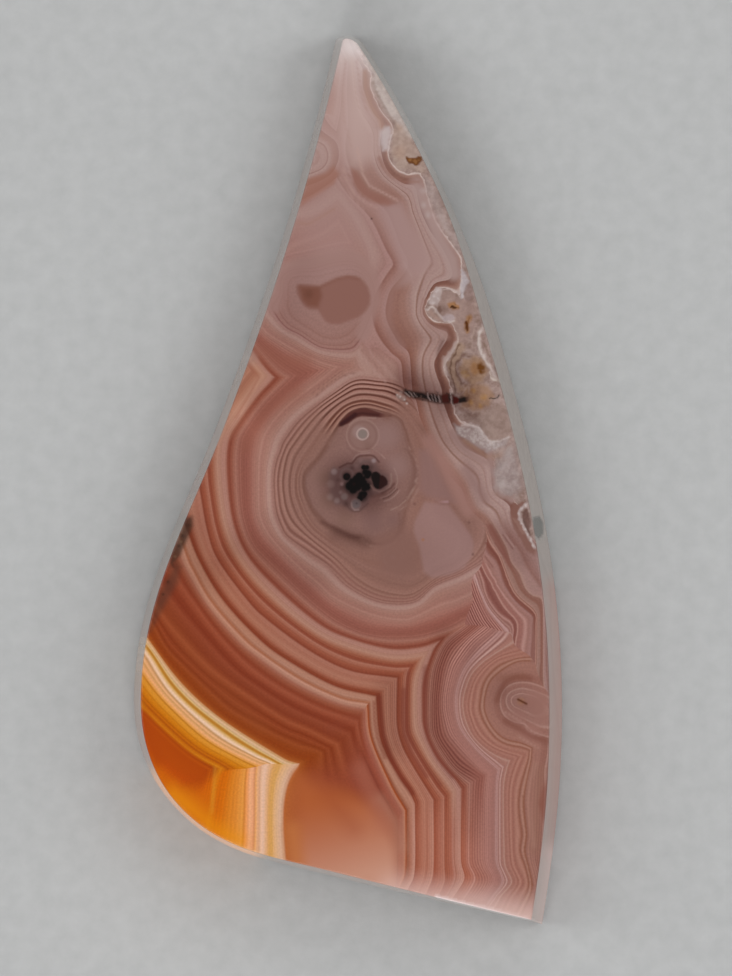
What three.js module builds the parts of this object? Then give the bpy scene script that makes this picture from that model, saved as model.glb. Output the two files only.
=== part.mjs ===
import * as THREE from 'three';

// A polished slice of banded agate, cut as a tall leaning teardrop that lies on its back.
// Units are millimetres, +Z points up out of the polished face and the tip points along +Y.

// Driving dimensions
const THICKNESS = 6.0;
const BACK_CHAMFER = 0.4;   // ground edge all round the back
const GIRDLE_HEIGHT = 1.2;  // upright band of the wall above the back
const HANDLE_SHARE = 0.36;  // length of a curve's handles against the chord that it spans

// The outline at the girdle, counter-clockwise from the left of the tip.
// Each stop has its place, the heading in degrees of the edge that leaves it, and how far the
// face's edge lies inside it. The corner also has the heading and inset of the edge before it.
const OUTLINE = [
  { at: [-0.86, 29.38], heading: -103, inset: 0.52, steps: 30 },
  { at: [-8.86, 3.55], heading: -111, inset: 0.57, steps: 24 },
  { at: [-14.36, -14.77], heading: -90, inset: 0.56, steps: 16 },
  { at: [-10.83, -22.7], heading: -42, inset: 0.4, steps: 16 },
  { at: [-1.6, -26.42], heading: -14, inset: 0.45, steps: 14 },
  { at: [13.02, -29.79], arrives: -12.9, insetBefore: 0.28, heading: 81, inset: 0.87, steps: 18 },
  { at: [14.36, -15.47], heading: 90, inset: 0.95, steps: 28 },
  { at: [10.14, 9.58], heading: 106.2, inset: 0.87, steps: 14 },
  { at: [5.85, 20.68], heading: 116.5, inset: 0.45, steps: 14 },
  { at: [1.0, 29.28], heading: 124, inset: 0.42, steps: 10 },
];

const RADIANS = Math.PI / 180;

function direction(degrees) {
  return new THREE.Vector2(Math.cos(degrees * RADIANS), Math.sin(degrees * RADIANS));
}

// The point that lies the given distances inside the edges that arrive at a stop and leave it.
function movedInwards(point, arrives, leaves, before, after) {
  const turn = arrives.cross(leaves);
  if (Math.abs(turn) < 1e-6) {
    return new THREE.Vector2(point.x - leaves.y * after, point.y + leaves.x * after);
  }
  return point.clone().addScaledVector(arrives, -after / turn).addScaledVector(leaves, before / turn);
}

// One closed ring of points round the stone. leanShare runs from 0 at the girdle to 1 at the
// face's edge, and evenInset moves every edge in by the same amount.
function ring(leanShare, evenInset = 0) {
  const stops = OUTLINE.map((stop) => {
    const arrives = direction(stop.arrives ?? stop.heading);
    const leaves = direction(stop.heading);
    const before = (stop.insetBefore ?? stop.inset) * leanShare + evenInset;
    const after = stop.inset * leanShare + evenInset;
    const point = movedInwards(new THREE.Vector2(...stop.at), arrives, leaves, before, after);
    return { point, arrives, leaves, steps: stop.steps };
  });
  return stops.flatMap((start, index) => {
    const end = stops[(index + 1) % stops.length];
    const handle = start.point.distanceTo(end.point) * HANDLE_SHARE;
    const curve = new THREE.CubicBezierCurve(
      start.point,
      start.point.clone().addScaledVector(start.leaves, handle),
      end.point.clone().addScaledVector(end.arrives, -handle),
      end.point,
    );
    return curve.getPoints(start.steps).slice(0, -1);
  });
}

// A closed solid through rings of equal length, from the lowest to the highest.
function loft(levels) {
  const count = levels[0].points.length;
  const positions = levels.flatMap(({ points, height }) => points.flatMap((p) => [p.x, p.y, height]));
  const triangles = [];
  for (let level = 0; level < levels.length - 1; level += 1) {
    const low = level * count;
    const high = low + count;
    for (let i = 0; i < count; i += 1) {
      const next = (i + 1) % count;
      triangles.push(low + i, low + next, high + next);
      triangles.push(low + i, high + next, high + i);
    }
  }
  const top = (levels.length - 1) * count;
  for (const [a, b, c] of THREE.ShapeUtils.triangulateShape(levels[0].points, [])) {
    triangles.push(a, c, b);
  }
  for (const [a, b, c] of THREE.ShapeUtils.triangulateShape(levels.at(-1).points, [])) {
    triangles.push(top + a, top + b, top + c);
  }
  const geometry = new THREE.BufferGeometry();
  geometry.setAttribute('position', new THREE.Float32BufferAttribute(positions, 3));
  geometry.setIndex(triangles);
  geometry.computeVertexNormals();
  return geometry;
}

// The whole stone: flat back, chamfer, girdle, leaning wall and flat polished face.
function agateSlab() {
  const geometry = loft([
    { points: ring(0, BACK_CHAMFER), height: 0 },
    { points: ring(0), height: BACK_CHAMFER },
    { points: ring(0), height: GIRDLE_HEIGHT },
    { points: ring(1), height: THICKNESS },
  ]);
  const polishedAgate = new THREE.MeshStandardMaterial({ color: 0x9c6f63, roughness: 0.15, metalness: 0 });
  const slab = new THREE.Mesh(geometry, polishedAgate);
  slab.name = 'agate';
  return slab;
}

const group = new THREE.Group();
group.add(agateSlab());

export default group;
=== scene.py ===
"""A polished slice of banded agate on a pale floor, seen from above."""

import math
import random

import bpy
import numpy as np
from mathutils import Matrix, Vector
from mathutils.geometry import delaunay_2d_cdt


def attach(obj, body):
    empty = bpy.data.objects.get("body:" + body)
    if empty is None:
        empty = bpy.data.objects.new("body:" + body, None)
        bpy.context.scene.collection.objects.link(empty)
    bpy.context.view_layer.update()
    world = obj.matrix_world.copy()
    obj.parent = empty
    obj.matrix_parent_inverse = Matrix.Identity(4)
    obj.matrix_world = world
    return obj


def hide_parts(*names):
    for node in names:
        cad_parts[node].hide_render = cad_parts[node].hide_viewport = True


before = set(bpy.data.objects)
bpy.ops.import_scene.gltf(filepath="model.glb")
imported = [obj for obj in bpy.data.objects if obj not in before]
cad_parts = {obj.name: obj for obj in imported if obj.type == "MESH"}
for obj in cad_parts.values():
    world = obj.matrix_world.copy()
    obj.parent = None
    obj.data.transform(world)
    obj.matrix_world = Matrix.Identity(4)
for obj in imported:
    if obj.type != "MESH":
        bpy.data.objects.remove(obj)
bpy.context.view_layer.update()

MM = 0.001

# The stone's size in millimetres, as in the part
THICKNESS = 6.0
BACK_CHAMFER = 0.4
GIRDLE_HEIGHT = 1.2
HANDLE_SHARE = 0.36
ARRIS_WIDTH = 0.09

# Rings of points round the chamfer and the girdle: how far inside the outline, and how high
LOWER_RINGS = [
    (BACK_CHAMFER, 0.0),
    (0.3 * BACK_CHAMFER, 0.25 * BACK_CHAMFER),
    (0.0, 0.9 * BACK_CHAMFER),
    (0.0, 2.0 * BACK_CHAMFER),
    (0.0, GIRDLE_HEIGHT),
]
# Rings round the edge of the face: how far inside it, and how far below the face
ARRIS_RINGS = [(0.12 * ARRIS_WIDTH, 0.45 * ARRIS_WIDTH), (0.45 * ARRIS_WIDTH, 0.12 * ARRIS_WIDTH)]

# Distances between the mesh's points, in millimetres
FACE_SPACING = 0.162
FINE_SPACING = 0.073
BACK_SPACING = 0.34
WALL_SPACING = 0.3
CURVE_REFINEMENT = 5

# How far the inner points keep from the edge and from finer zones, in spacings
EDGE_MARGIN = 0.6
ZONE_MARGIN = 0.3

# The outline at the girdle, counter-clockwise from the left of the tip
OUTLINE = [
    dict(at=(-0.86, 29.38), heading=-103, inset=0.52, steps=30),
    dict(at=(-8.86, 3.55), heading=-111, inset=0.57, steps=24),
    dict(at=(-14.36, -14.77), heading=-90, inset=0.56, steps=16),
    dict(at=(-10.83, -22.7), heading=-42, inset=0.4, steps=16),
    dict(at=(-1.6, -26.42), heading=-14, inset=0.45, steps=14),
    dict(at=(13.02, -29.79), arrives=-12.9, inset_before=0.28, heading=81, inset=0.87, steps=18),
    dict(at=(14.36, -15.47), heading=90, inset=0.95, steps=28),
    dict(at=(10.14, 9.58), heading=106.2, inset=0.87, steps=14),
    dict(at=(5.85, 20.68), heading=116.5, inset=0.45, steps=14),
    dict(at=(1.0, 29.28), heading=124, inset=0.42, steps=10),
]

# The band pattern is drawn on a grid over the face, counted right and down in steps of 1/15 mm
GRID_STEP = 1.0 / 15.0
GRID_ZERO = np.array([348.0, 480.0])
GRID_SCALE = np.array([GRID_STEP, -GRID_STEP])
BAND_TILT = np.array([0.22, -0.13])   # how far the bands drift sideways with each millimetre of depth

# Growth lines of each system of bands: the age of a layer, in grid steps of growth, and points along it
CENTRAL_LINES = {
    577: [(406, 508), (416, 480), (415.5, 466), (404, 427), (397, 417), (365, 408.5), (345, 417),
        (325, 447), (318, 458), (304, 474), (306, 498), (321, 522), (343, 535), (372, 544), (394, 539),
        (401, 530), (406, 508)],
    584: [(434, 545), (424, 533), (420, 520), (422, 506), (428, 494), (429, 480), (423, 450), (409, 422),
        (399, 411), (385, 405), (362, 401), (338, 412), (306, 455), (298, 470), (296, 485), (299, 502),
        (315, 530), (362, 560), (398, 566), (424, 556), (434, 545)],
    595: [(385, 391), (362, 389), (348, 393), (320, 413), (295, 444), (287, 460), (284, 490), (295, 523),
        (338, 560), (355, 576), (375, 588), (398, 594), (415, 592), (440, 575), (455, 570), (470, 560)],
    604.5: [(380, 379), (362, 377), (350, 380), (338, 388), (300, 416), (281.3, 440), (278, 450),
        (274, 460), (271.4, 480), (273.3, 510), (280.4, 530), (288, 540), (312, 558), (326, 567),
        (348, 588), (380, 603), (414, 603), (434, 587), (460, 576), (473, 569)],
    619.7: [(262.4, 440), (259.3, 460), (258.6, 500), (261.2, 520), (272.7, 540), (300, 568), (318, 583),
        (335, 598), (370, 614), (400, 619.7), (415, 617), (440, 605), (455, 601), (468, 595)],
    636: [(243.2, 440), (241.3, 460), (242.2, 500), (245.1, 520), (252.5, 540), (265, 556), (318, 606),
        (350, 627), (380, 635.4), (420, 634.2), (450, 624.6), (460, 619)],
    649.5: [(268, 384), (256, 397), (236, 425), (228.5, 440), (226.5, 470), (232.2, 520), (248, 557),
        (280, 592), (320, 625), (350, 638.8), (390, 649.2), (420, 647.7), (439, 641.5)],
    667.3: [(207.6, 470), (209.5, 490), (216.8, 530), (229.7, 560), (262, 600), (310, 638.5), (350, 658.5),
        (390, 667), (409, 667.3)],
    677.5: [(199.6, 490), (206.9, 530), (217.7, 560), (247, 600), (267.1, 620), (310, 651.3), (350, 670.8),
        (396.5, 678)],
    697.5: [(184, 522), (198.8, 560), (222.8, 600), (260, 640), (290, 662), (335, 686.2), (375.5, 696.2)],
    706: [(188, 564), (209, 601), (240, 637), (260, 654), (300, 681), (340, 699.5), (366, 704.5)],
    714.6: [(177, 570), (186.5, 587), (215, 627), (245, 658.5), (280, 684.5), (320, 705.5), (356, 718)],
    721: [(163, 574), (182, 603), (230, 659.5), (260, 684), (300, 708), (354, 730)],
    745: [(155, 612), (172, 636), (195, 661), (222, 684), (280, 722), (305, 733), (331, 746)],
    765: [(150, 628), (168, 656), (212, 701), (240, 722), (292, 750), (314, 756)],
    780: [(147, 637), (180, 681), (220, 717.5), (280, 756), (297, 763)],
    798: [(139, 655), (152, 676), (172, 701), (212, 737), (252, 759), (265, 764)],
    830: [(128, 690), (143, 709), (180, 744), (200, 758.5), (218, 768)],
    880: [(120, 738), (170, 790), (200, 815)],
}

RIGHT_EYE_LINES = {
    562: [(523, 702)],
    570: [(535, 697), (521, 694), (512, 698), (513, 705), (535, 715)],
    578: [(538, 692), (522, 688), (508, 694), (507, 706), (518, 716), (540, 727)],
    584: [(545, 688), (530, 683), (516, 683), (506, 688), (501, 697), (501, 708), (505, 716), (515, 722),
        (525, 724), (532, 731), (545, 736)],
    597: [(545, 662), (525, 660), (510, 664), (490, 680), (483.7, 702), (485, 714), (490, 725), (498, 735),
        (508, 741), (522, 744), (540, 752)],
    601: [(523, 652), (496, 660), (477, 680), (471, 704), (473, 718), (479, 731), (489, 742), (501, 749),
        (527, 757)],
    606: [(513, 643), (489, 658), (476, 669), (468, 682), (463, 706), (470, 731), (480, 744), (492, 753),
        (505, 759), (514, 761)],
    609: [(509, 632), (503, 640), (478, 661), (468, 673), (462, 688), (460, 702), (463, 724), (478, 746),
        (503, 767)],
    625: [(485, 627.5), (470, 640), (458, 655), (450, 671), (444.5, 702), (449, 727), (456, 740),
        (477, 763), (489, 773)],
    640.6: [(466, 625), (446, 641), (436, 660), (431.2, 680), (429.6, 720), (433.5, 740), (447, 762),
        (457, 773), (470, 783)],
    649.5: [(439, 641.5), (433, 650), (423, 680), (422, 710), (424, 730), (436, 757), (455.3, 780.3),
        (461, 789)],
    667.3: [(409.5, 668), (406.3, 680), (405.3, 720), (409, 740), (433, 781), (444.5, 796.5)],
    677.5: [(397, 679), (396.5, 720), (400, 740), (409, 760), (433.5, 800)],
    697.5: [(376, 696.5), (378.4, 730), (385, 752), (401, 780), (409, 791), (415, 804)],
    706: [(367, 705), (371, 739), (391, 786), (405, 810)],
    721: [(352.5, 719), (353, 730), (360, 756), (376, 790), (387, 808)],
    745: [(331, 740), (344, 790), (360, 835)],
    765: [(314, 756), (312, 775), (313, 800), (318, 825), (322, 860)],
    780: [(298, 764), (288, 780), (283, 800), (282, 825), (284, 858)],
    798: [(265, 765), (263, 785), (262, 850)],
    830: [(218, 770), (213, 790), (205, 835)],
    880: [(165, 780), (160, 810)],
}

LOWER_WALL_LINES = {
    584: [(545, 770), (545, 800), (541, 860)],
    597: [(531, 758), (523, 800), (526, 835), (524, 850), (529, 870), (531, 890), (520, 915)],
    601: [(519, 762), (513, 780), (511, 800), (512, 850), (515, 868), (521, 882), (514, 895), (505, 913)],
    606: [(508, 765), (504.5, 780), (503.5, 800), (504.5, 850), (506, 867), (512, 882), (502, 895),
        (493, 911)],
    609: [(503, 768), (500.5, 780), (500, 800), (500, 850), (501, 866), (507, 882), (497, 895), (488, 908)],
    625: [(489, 774), (487, 800), (487, 855), (489, 868), (494, 881), (478, 906)],
    640.6: [(470, 784), (469, 855), (471, 868), (475, 880), (462, 902)],
    649.5: [(461, 789), (460.5, 850), (461.5, 866), (464, 879), (452, 899)],
    667.3: [(444.5, 797), (444.5, 860), (445, 881), (440, 893)],
    677.5: [(433.5, 801), (433.5, 870), (427, 892)],
    697.5: [(415, 806), (414.8, 870), (408, 889)],
    706: [(405.3, 811), (405, 870), (399, 887)],
    745: [(360, 835), (365, 885)],
    780: [(282, 840), (284, 858)],
}

SEAM_LINES = {
    560: [(358, 55), (371, 73), (370.5, 86), (381, 111), (390, 121.5), (393.5, 130), (388, 152),
        (391.5, 163), (398, 170), (409, 174), (421, 173), (425, 185), (435, 220), (452, 245), (461, 258),
        (462, 270), (461, 292), (458, 295.5), (453, 290.5), (445, 287.5), (438, 288), (432, 293),
        (425, 309), (434, 321.5), (452, 322.6), (458.5, 341), (453, 351), (444.4, 365), (445.6, 374),
        (450.8, 385), (455, 413), (460, 421), (470, 425), (478, 426), (490, 442), (508, 437)],
    571: [(356, 58), (362, 68), (363, 88), (373, 113), (380, 121), (381, 132), (379.5, 142), (384, 164),
        (392, 176), (404, 184), (414, 186), (417, 196), (421, 212), (430, 231), (440, 245), (449, 262),
        (452, 275), (447, 280), (433, 285), (422.6, 310), (431.5, 325), (447, 333), (447, 338),
        (436.7, 356), (434, 367), (441.5, 390), (442, 400), (459, 441), (472, 452), (489, 463), (493, 491),
        (509, 506), (513, 523), (534, 555), (541, 570)],
    581.5: [(352, 60), (356, 97), (361, 112), (369, 123), (374, 136), (374, 150), (377, 164), (386, 178),
        (408, 196), (413, 212), (428, 250), (432, 263), (426, 272), (418, 294), (416.5, 314), (420, 323),
        (431, 338.5), (430, 343), (423.5, 356), (423.8, 380), (431.3, 412), (440.3, 436), (447, 447),
        (457, 458), (477, 476), (480, 490), (486, 503), (496, 511), (506, 533), (519, 553), (525, 567),
        (541, 590)],
    585: [(418, 358), (417.5, 370), (421, 391), (436, 440), (466, 478), (471, 492), (478, 507), (488, 516),
        (505, 545), (511, 562), (519, 573), (525, 588), (533, 596), (542, 600), (543, 630), (543, 665)],
    594.5: [(348, 60), (347, 90), (348, 124), (345.5, 141), (346.5, 157), (355, 183), (364, 194.5),
        (386, 211), (400, 245), (408, 264), (399.5, 279), (389.5, 291.8), (386, 317.4), (399.5, 344.4),
        (409, 354), (412.5, 391), (416.5, 402), (422.3, 428.7), (432, 458), (440, 472), (461, 490),
        (463.5, 502), (472, 514.6), (482.6, 522.3), (492, 543), (500, 555), (514, 590), (534, 610),
        (537, 622), (537, 662)],
    597: [(486.4, 540.3), (491.5, 550.5), (499, 561), (513, 594.6), (533, 614), (534, 625), (533, 660)],
    601: [(475, 545), (487, 565), (499.7, 589.5), (519, 613), (525.4, 620), (526, 632), (523.5, 651)],
    603: [(337, 178), (349, 196), (370, 218), (385, 248), (393, 264), (388, 272), (377.7, 289),
        (372.6, 302), (372, 315), (375, 329), (382.8, 343), (393, 354.6), (400.8, 362.3), (403.3, 384),
        (409, 402), (414, 430), (436, 490), (476, 550), (488, 573), (494.6, 583), (502.3, 598),
        (512.6, 612), (520.3, 623), (518, 646)],
    606: [(473, 556), (480, 566), (499.7, 605), (515, 623), (513.8, 643)],
    609: [(474, 571), (488, 606), (509, 631)],
    625: [(473, 600), (487, 628)],
    640.6: [(459, 612), (466, 624)],
    660: [(445, 620), (452, 634)],
    700: [(250, 60), (240, 250), (240, 350), (250, 450)],
}

SEAM_TOP_LINES = {
    620: [(318, 185), (325, 205), (338, 222), (350, 245), (356, 262), (352, 285), (345, 330)],
    650: [(300, 60), (296, 130), (292, 190), (305, 230), (318, 262), (320, 300), (318, 330)],
    606: [(336, 190), (342, 194), (349, 204), (359, 216), (374, 245), (377, 258), (368, 285), (366, 312),
        (361, 325), (358, 340), (362, 352), (378, 376)],
}

LONE_PATCH_LINES = {
    590: [(297, 284), (310, 284), (320, 286), (335, 279), (350, 275), (362, 279), (369, 290), (370, 302),
        (364, 313), (350, 321), (337, 325), (325, 321), (318, 310), (308, 309), (300, 301), (296, 290)],
    604.5: [(268, 308), (276, 320), (286, 330), (298, 336), (320, 349), (345, 352), (354, 350.5)],
    619.7: [(256, 318), (266, 332), (281, 342), (300, 353), (320, 362), (337, 367)],
    636: [(250, 333), (258, 343), (281, 365), (305, 380)],
    649.5: [(244, 340), (264, 367), (277, 380)],
    667.3: [(238, 354), (256, 376), (263, 381)],
    697.5: [(228, 362), (243, 384)],
}

LONE_PATCH_UPPER_LINES = {
    604.5: [(278, 292), (280, 276), (292, 268), (312, 266), (330, 261), (350, 259), (363, 265), (373, 280),
        (375, 300), (367, 330), (360, 344)],
    625: [(262, 280), (275, 255), (300, 246), (325, 240), (350, 236), (373, 246), (388, 262), (393, 285),
        (390, 308), (385, 328)],
}

TOP_EYE_LINES = {
    575: [(316, 157)],
    585: [(318, 138), (326, 142), (331, 152), (330, 163), (324, 171), (311, 177)],
    594.5: [(326, 134), (336, 142), (339, 154), (337, 164), (331, 174), (320, 181), (304, 187)],
    603: [(346, 160), (340, 174), (328, 184), (315, 193), (302, 200)],
    606: [(336, 190), (326, 199), (313, 206), (299, 210)],
    612: [(345, 200), (332, 208), (313, 221), (295, 223)],
}

# The systems of bands: a second set holds the lines that share an age with one of the first
SYSTEMS = dict(
    central=[CENTRAL_LINES],
    eye=[RIGHT_EYE_LINES],
    wall=[LOWER_WALL_LINES],
    seam=[SEAM_LINES, SEAM_TOP_LINES],
    patch=[LONE_PATCH_LINES, LONE_PATCH_UPPER_LINES],
    top=[TOP_EYE_LINES],
)

# Where each smaller system of bands reaches: beyond it, its layers count as ever older
HOMES = dict(
    patch=[(225, 330), (262, 262), (300, 225), (385, 240), (392, 300), (385, 345), (372, 372), (330, 385),
           (262, 400), (225, 400)],
    top=[(290, 115), (345, 115), (350, 150), (352, 200), (340, 235), (330, 262), (280, 262), (270, 240)],
)
BEYOND_HOME = 4.0

# The lower wall ends on the left in the same way
WALL_END = 400.0
BEYOND_WALL = 2.0

# The layer at the edge of the husk, and the one round the nucleus
HUSK_AGE = 560.0
NUCLEUS_AGE = 604.5

FADE_CURVE = 1.6   # a fade starts slowly, as the eye would mix it

# Waves that push the husk's shapes about: their length and their reach, on the grid
WAVERS = [(19.0, 0.45), (9.0, 0.36), (5.0, 0.24)]
WAVER_REACH = 9.0
WAVER_SOFTNESS = 8.0


def srgb_to_linear(value):
    """One sRGB channel from 0 to 255, as linear light from 0 to 1."""
    value /= 255.0
    if value <= 0.04045:
        return value / 12.92
    return ((value + 0.055) / 1.055) ** 2.4


def linear_colour(colour):
    return tuple(srgb_to_linear(channel) for channel in colour) + (1.0,)


# Outline and mesh

def direction(degrees):
    angle = math.radians(degrees)
    return np.array([math.cos(angle), math.sin(angle)])


def moved_inwards(point, arrives, leaves, before, after):
    """The point that lies the given distances inside the edges that arrive at a stop and leave it."""
    turn = arrives[0] * leaves[1] - arrives[1] * leaves[0]
    if abs(turn) < 1e-6:
        return point + after * np.array([-leaves[1], leaves[0]])
    return point - arrives * after / turn + leaves * before / turn


def ring(lean_share, even_inset=0.0):
    """One closed ring of points round the stone, from the girdle (0) to the face's edge (1)."""
    stops = []
    for stop in OUTLINE:
        arrives = direction(stop.get("arrives", stop["heading"]))
        leaves = direction(stop["heading"])
        before = stop.get("inset_before", stop["inset"]) * lean_share + even_inset
        after = stop["inset"] * lean_share + even_inset
        point = moved_inwards(np.array(stop["at"]), arrives, leaves, before, after)
        stops.append((point, arrives, leaves, stop["steps"] * CURVE_REFINEMENT))
    points = []
    for index, (start, _, leaves, steps) in enumerate(stops):
        end, arrives, _, _ = stops[(index + 1) % len(stops)]
        handle = np.linalg.norm(end - start) * HANDLE_SHARE
        controls = np.array([start, start + leaves * handle, end - arrives * handle, end])
        t = (np.arange(steps) / steps)[:, None]
        weights = np.hstack([(1 - t) ** 3, 3 * t * (1 - t) ** 2, 3 * t ** 2 * (1 - t), t ** 3])
        points.append(weights @ controls)
    return np.vstack(points)


def distance_to_path(points, path, closed=True):
    """Shortest distance from each point to a path, negative inside a closed one."""
    path = np.asarray(path, float)
    ends = np.roll(path, -1, axis=0) if closed else path[1:]
    starts = path if closed else path[:-1]
    nearest = np.full(len(points), 1e9)
    inside = np.zeros(len(points), bool)
    for start, end in zip(starts, ends):
        side = end - start
        share = np.clip(((points - start) @ side) / max(side @ side, 1e-12), 0.0, 1.0)
        nearest = np.minimum(nearest, np.linalg.norm(points - start - share[:, None] * side, axis=1))
        if closed:
            crosses = (start[1] > points[:, 1]) != (end[1] > points[:, 1])
            with np.errstate(divide="ignore", invalid="ignore"):
                at_x = start[0] + (points[:, 1] - start[1]) * side[0] / side[1]
            inside ^= crosses & (points[:, 0] < at_x)
    return np.where(inside, -nearest, nearest)


def lattice_over(low, high, spacing):
    """Points of a triangular lattice over a box."""
    rows = np.arange(low[1], high[1], spacing * math.sqrt(0.75))
    columns = np.arange(low[0], high[0], spacing)
    grid_x, grid_y = np.meshgrid(columns, rows)
    grid_x = grid_x + np.where(np.arange(len(rows)) % 2, 0.5 * spacing, 0.0)[:, None]
    return np.stack([grid_x.ravel(), grid_y.ravel()], 1)


def filled_ring(edge, spacing, zones=()):
    """Points and triangles that fill a closed ring, finer in the zones: the ring's own points come first."""
    coarse_edge = edge[::3]
    margin = EDGE_MARGIN * spacing
    lattice = lattice_over(edge.min(0) - spacing, edge.max(0) + spacing, spacing)
    lattice = lattice[distance_to_path(lattice, coarse_edge) < -margin]
    for zone in zones:
        lattice = lattice[distance_to_path(lattice, zone) > ZONE_MARGIN * spacing]
        fine = lattice_over(zone.min(0), zone.max(0), FINE_SPACING)
        fine = fine[distance_to_path(fine, zone) < 0.0]
        lattice = np.vstack([lattice, fine[distance_to_path(fine, coarse_edge) < -margin]])
    points = np.vstack([edge, lattice])
    edges = [(i, (i + 1) % len(edge)) for i in range(len(edge))]
    faces = delaunay_2d_cdt([Vector(p) for p in points], edges, [], 1, 1e-7)[2]
    return points, faces


def on_stone(points):
    """Points of the grid, in millimetres on the stone."""
    return (np.asarray(points, float) - GRID_ZERO) * GRID_SCALE


def on_grid(points):
    """Points of the stone in millimetres, on the grid."""
    return points / GRID_SCALE + GRID_ZERO


def with_height(points, height):
    return np.hstack([points, np.full((len(points), 1), height)])


def side_rings():
    """Rings of points up the stone's side: chamfer, girdle, leaning wall and the face's rounded edge."""
    wall_height = THICKNESS - GIRDLE_HEIGHT
    wall_share = 1.0 - ARRIS_WIDTH / wall_height
    steps = round(wall_height / WALL_SPACING)
    rings = [with_height(ring(0.0, inset), height) for inset, height in LOWER_RINGS]
    for step in range(1, steps + 1):
        share = wall_share * step / steps
        rings.append(with_height(ring(share), GIRDLE_HEIGHT + share * wall_height))
    rings += [with_height(ring(1.0, inset), THICKNESS - drop) for inset, drop in ARRIS_RINGS]
    return rings


def build_stone():
    """The slice, in one closed mesh: its side, its dense flat face and its back."""
    rings = side_rings()
    count = len(rings[0])
    zones = [on_stone(zone) for zone in FINE_ZONES]
    face_points, face_triangles = filled_ring(ring(1.0, ARRIS_WIDTH), FACE_SPACING, zones)
    back_points, back_triangles = filled_ring(ring(0.0, BACK_CHAMFER), BACK_SPACING)
    face_start = count * len(rings)
    back_start = face_start + len(face_points)
    face = with_height(face_points, THICKNESS)
    back_inside = with_height(back_points[count:], 0.0)
    vertices = np.vstack(rings + [face, back_inside])

    around = np.arange(count)
    following = (around + 1) % count
    quads = []
    for low in range(0, face_start, count):
        high = low + count
        quads.append(np.stack([low + around, low + following, high + following, high + around], 1))
    quads = np.vstack(quads).tolist()
    face_side = [[face_start + i for i in triangle] for triangle in face_triangles]
    back_side = [[i if i < count else back_start + i - count for i in reversed(triangle)]
                 for triangle in back_triangles]
    mesh = bpy.data.meshes.new("agate_stone")
    mesh.from_pydata((vertices * MM).tolist(), [], quads + face_side + back_side)
    smooth = np.zeros(len(mesh.polygons), bool)
    smooth[:len(quads)] = True
    mesh.polygons.foreach_set("use_smooth", smooth)
    mesh.update()
    stone = bpy.data.objects.new("agate_stone", mesh)
    bpy.context.scene.collection.objects.link(stone)
    return stone, vertices


# Fields of layer age

def dense_line(points, spacing=7.0):
    """Points along the smooth curve through the given ones, about one spacing apart."""
    points = np.array(points, float)
    if len(points) < 3:
        return points
    padded = np.vstack([2 * points[0] - points[1], points, 2 * points[-1] - points[-2]])
    pieces = []
    for before, start, end, after in zip(padded, padded[1:], padded[2:], padded[3:]):
        count = max(1, int(round(np.linalg.norm(end - start) / spacing)))
        t = (np.arange(count) / count)[:, None]
        pieces.append(0.5 * (2 * start + (end - before) * t
                             + (2 * before - 5 * start + 4 * end - after) * t ** 2
                             + (3 * start - before - 3 * end + after) * t ** 3))
    pieces.append(points[-1:])
    return np.vstack(pieces)


def spline_kernel(offsets):
    squares = (offsets ** 2).sum(-1)
    return 0.5 * squares * np.log(squares + 1e-9)


def layer_age(points, *line_sets, stiffness=2e-4, scale=100.0, batch=4000):
    """Age of the layer at each point: a thin-plate spline through one system's growth lines."""
    places = []
    ages = []
    for lines in line_sets:
        for age, line_points in lines.items():
            line = dense_line(line_points)
            places.append(line)
            ages.append(np.full(len(line), float(age)))
    unit = np.vstack(places) / scale
    ages = np.concatenate(ages)
    count = len(unit)
    corner = np.hstack([np.ones((count, 1)), unit])
    system = np.zeros((count + 3, count + 3))
    system[:count, :count] = spline_kernel(unit[:, None] - unit[None]) + stiffness * np.eye(count)
    system[:count, count:] = corner
    system[count:, :count] = corner.T
    weights = np.linalg.solve(system, np.concatenate([ages, np.zeros(3)]))
    found = np.empty(len(points))
    for start in range(0, len(points), batch):
        part = points[start:start + batch] / scale
        found[start:start + batch] = (spline_kernel(part[:, None] - unit[None]) @ weights[:count]
                                      + weights[count] + part @ weights[count + 1:])
    return found


def system_ages(points, husk):
    """Age of the layer at each point in each system of bands, cut off where a system ends."""
    ages = {name: layer_age(points, *line_sets) for name, line_sets in SYSTEMS.items()}
    ages["wall"] += np.maximum(0.0, WALL_END - points[:, 0]) * BEYOND_WALL
    for name, home in HOMES.items():
        ages[name] += np.maximum(0.0, distance_to_path(points, home)) * BEYOND_HOME
    grown = ages["seam"]
    ages["seam"] = np.where(husk < 0, np.minimum(grown, HUSK_AGE + husk), np.maximum(grown, HUSK_AGE))
    return ages


# Shapes of colour: each is laid on with a soft edge, and places are on the grid

def patch(colour, soft, strength, *points):
    return dict(colour=colour, patch=points, soft=soft, strength=strength)


def stroke(colour, width, soft, strength, *points):
    return dict(colour=colour, line=points, width=width, soft=soft, strength=strength)


def circle(colour, width, soft, strength, *centre_and_radius):
    return dict(colour=colour, ring=centre_and_radius, width=width, soft=soft, strength=strength)


def dots(colour, soft, strength, *centres_and_radii):
    return dict(colour=colour, spots=centres_and_radii, soft=soft, strength=strength)


def along(strength, radius, soft, *path):
    """A strength that holds up to a distance from a path, and then fades."""
    return dict(strength=strength, radius=radius, soft=soft, path=path)


def box(left, top, right, bottom):
    return [(left, top), (right, top), (right, bottom), (left, bottom)]


def falloff(distance, soft):
    """1 inside a shape and 0 outside it, with a soft edge this wide."""
    share = np.clip(0.5 - distance / max(soft, 1e-6), 0.0, 1.0)
    return share * share * (3.0 - 2.0 * share)


speckle_draws = random.Random(11)
waver_draws = random.Random(4)


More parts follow.
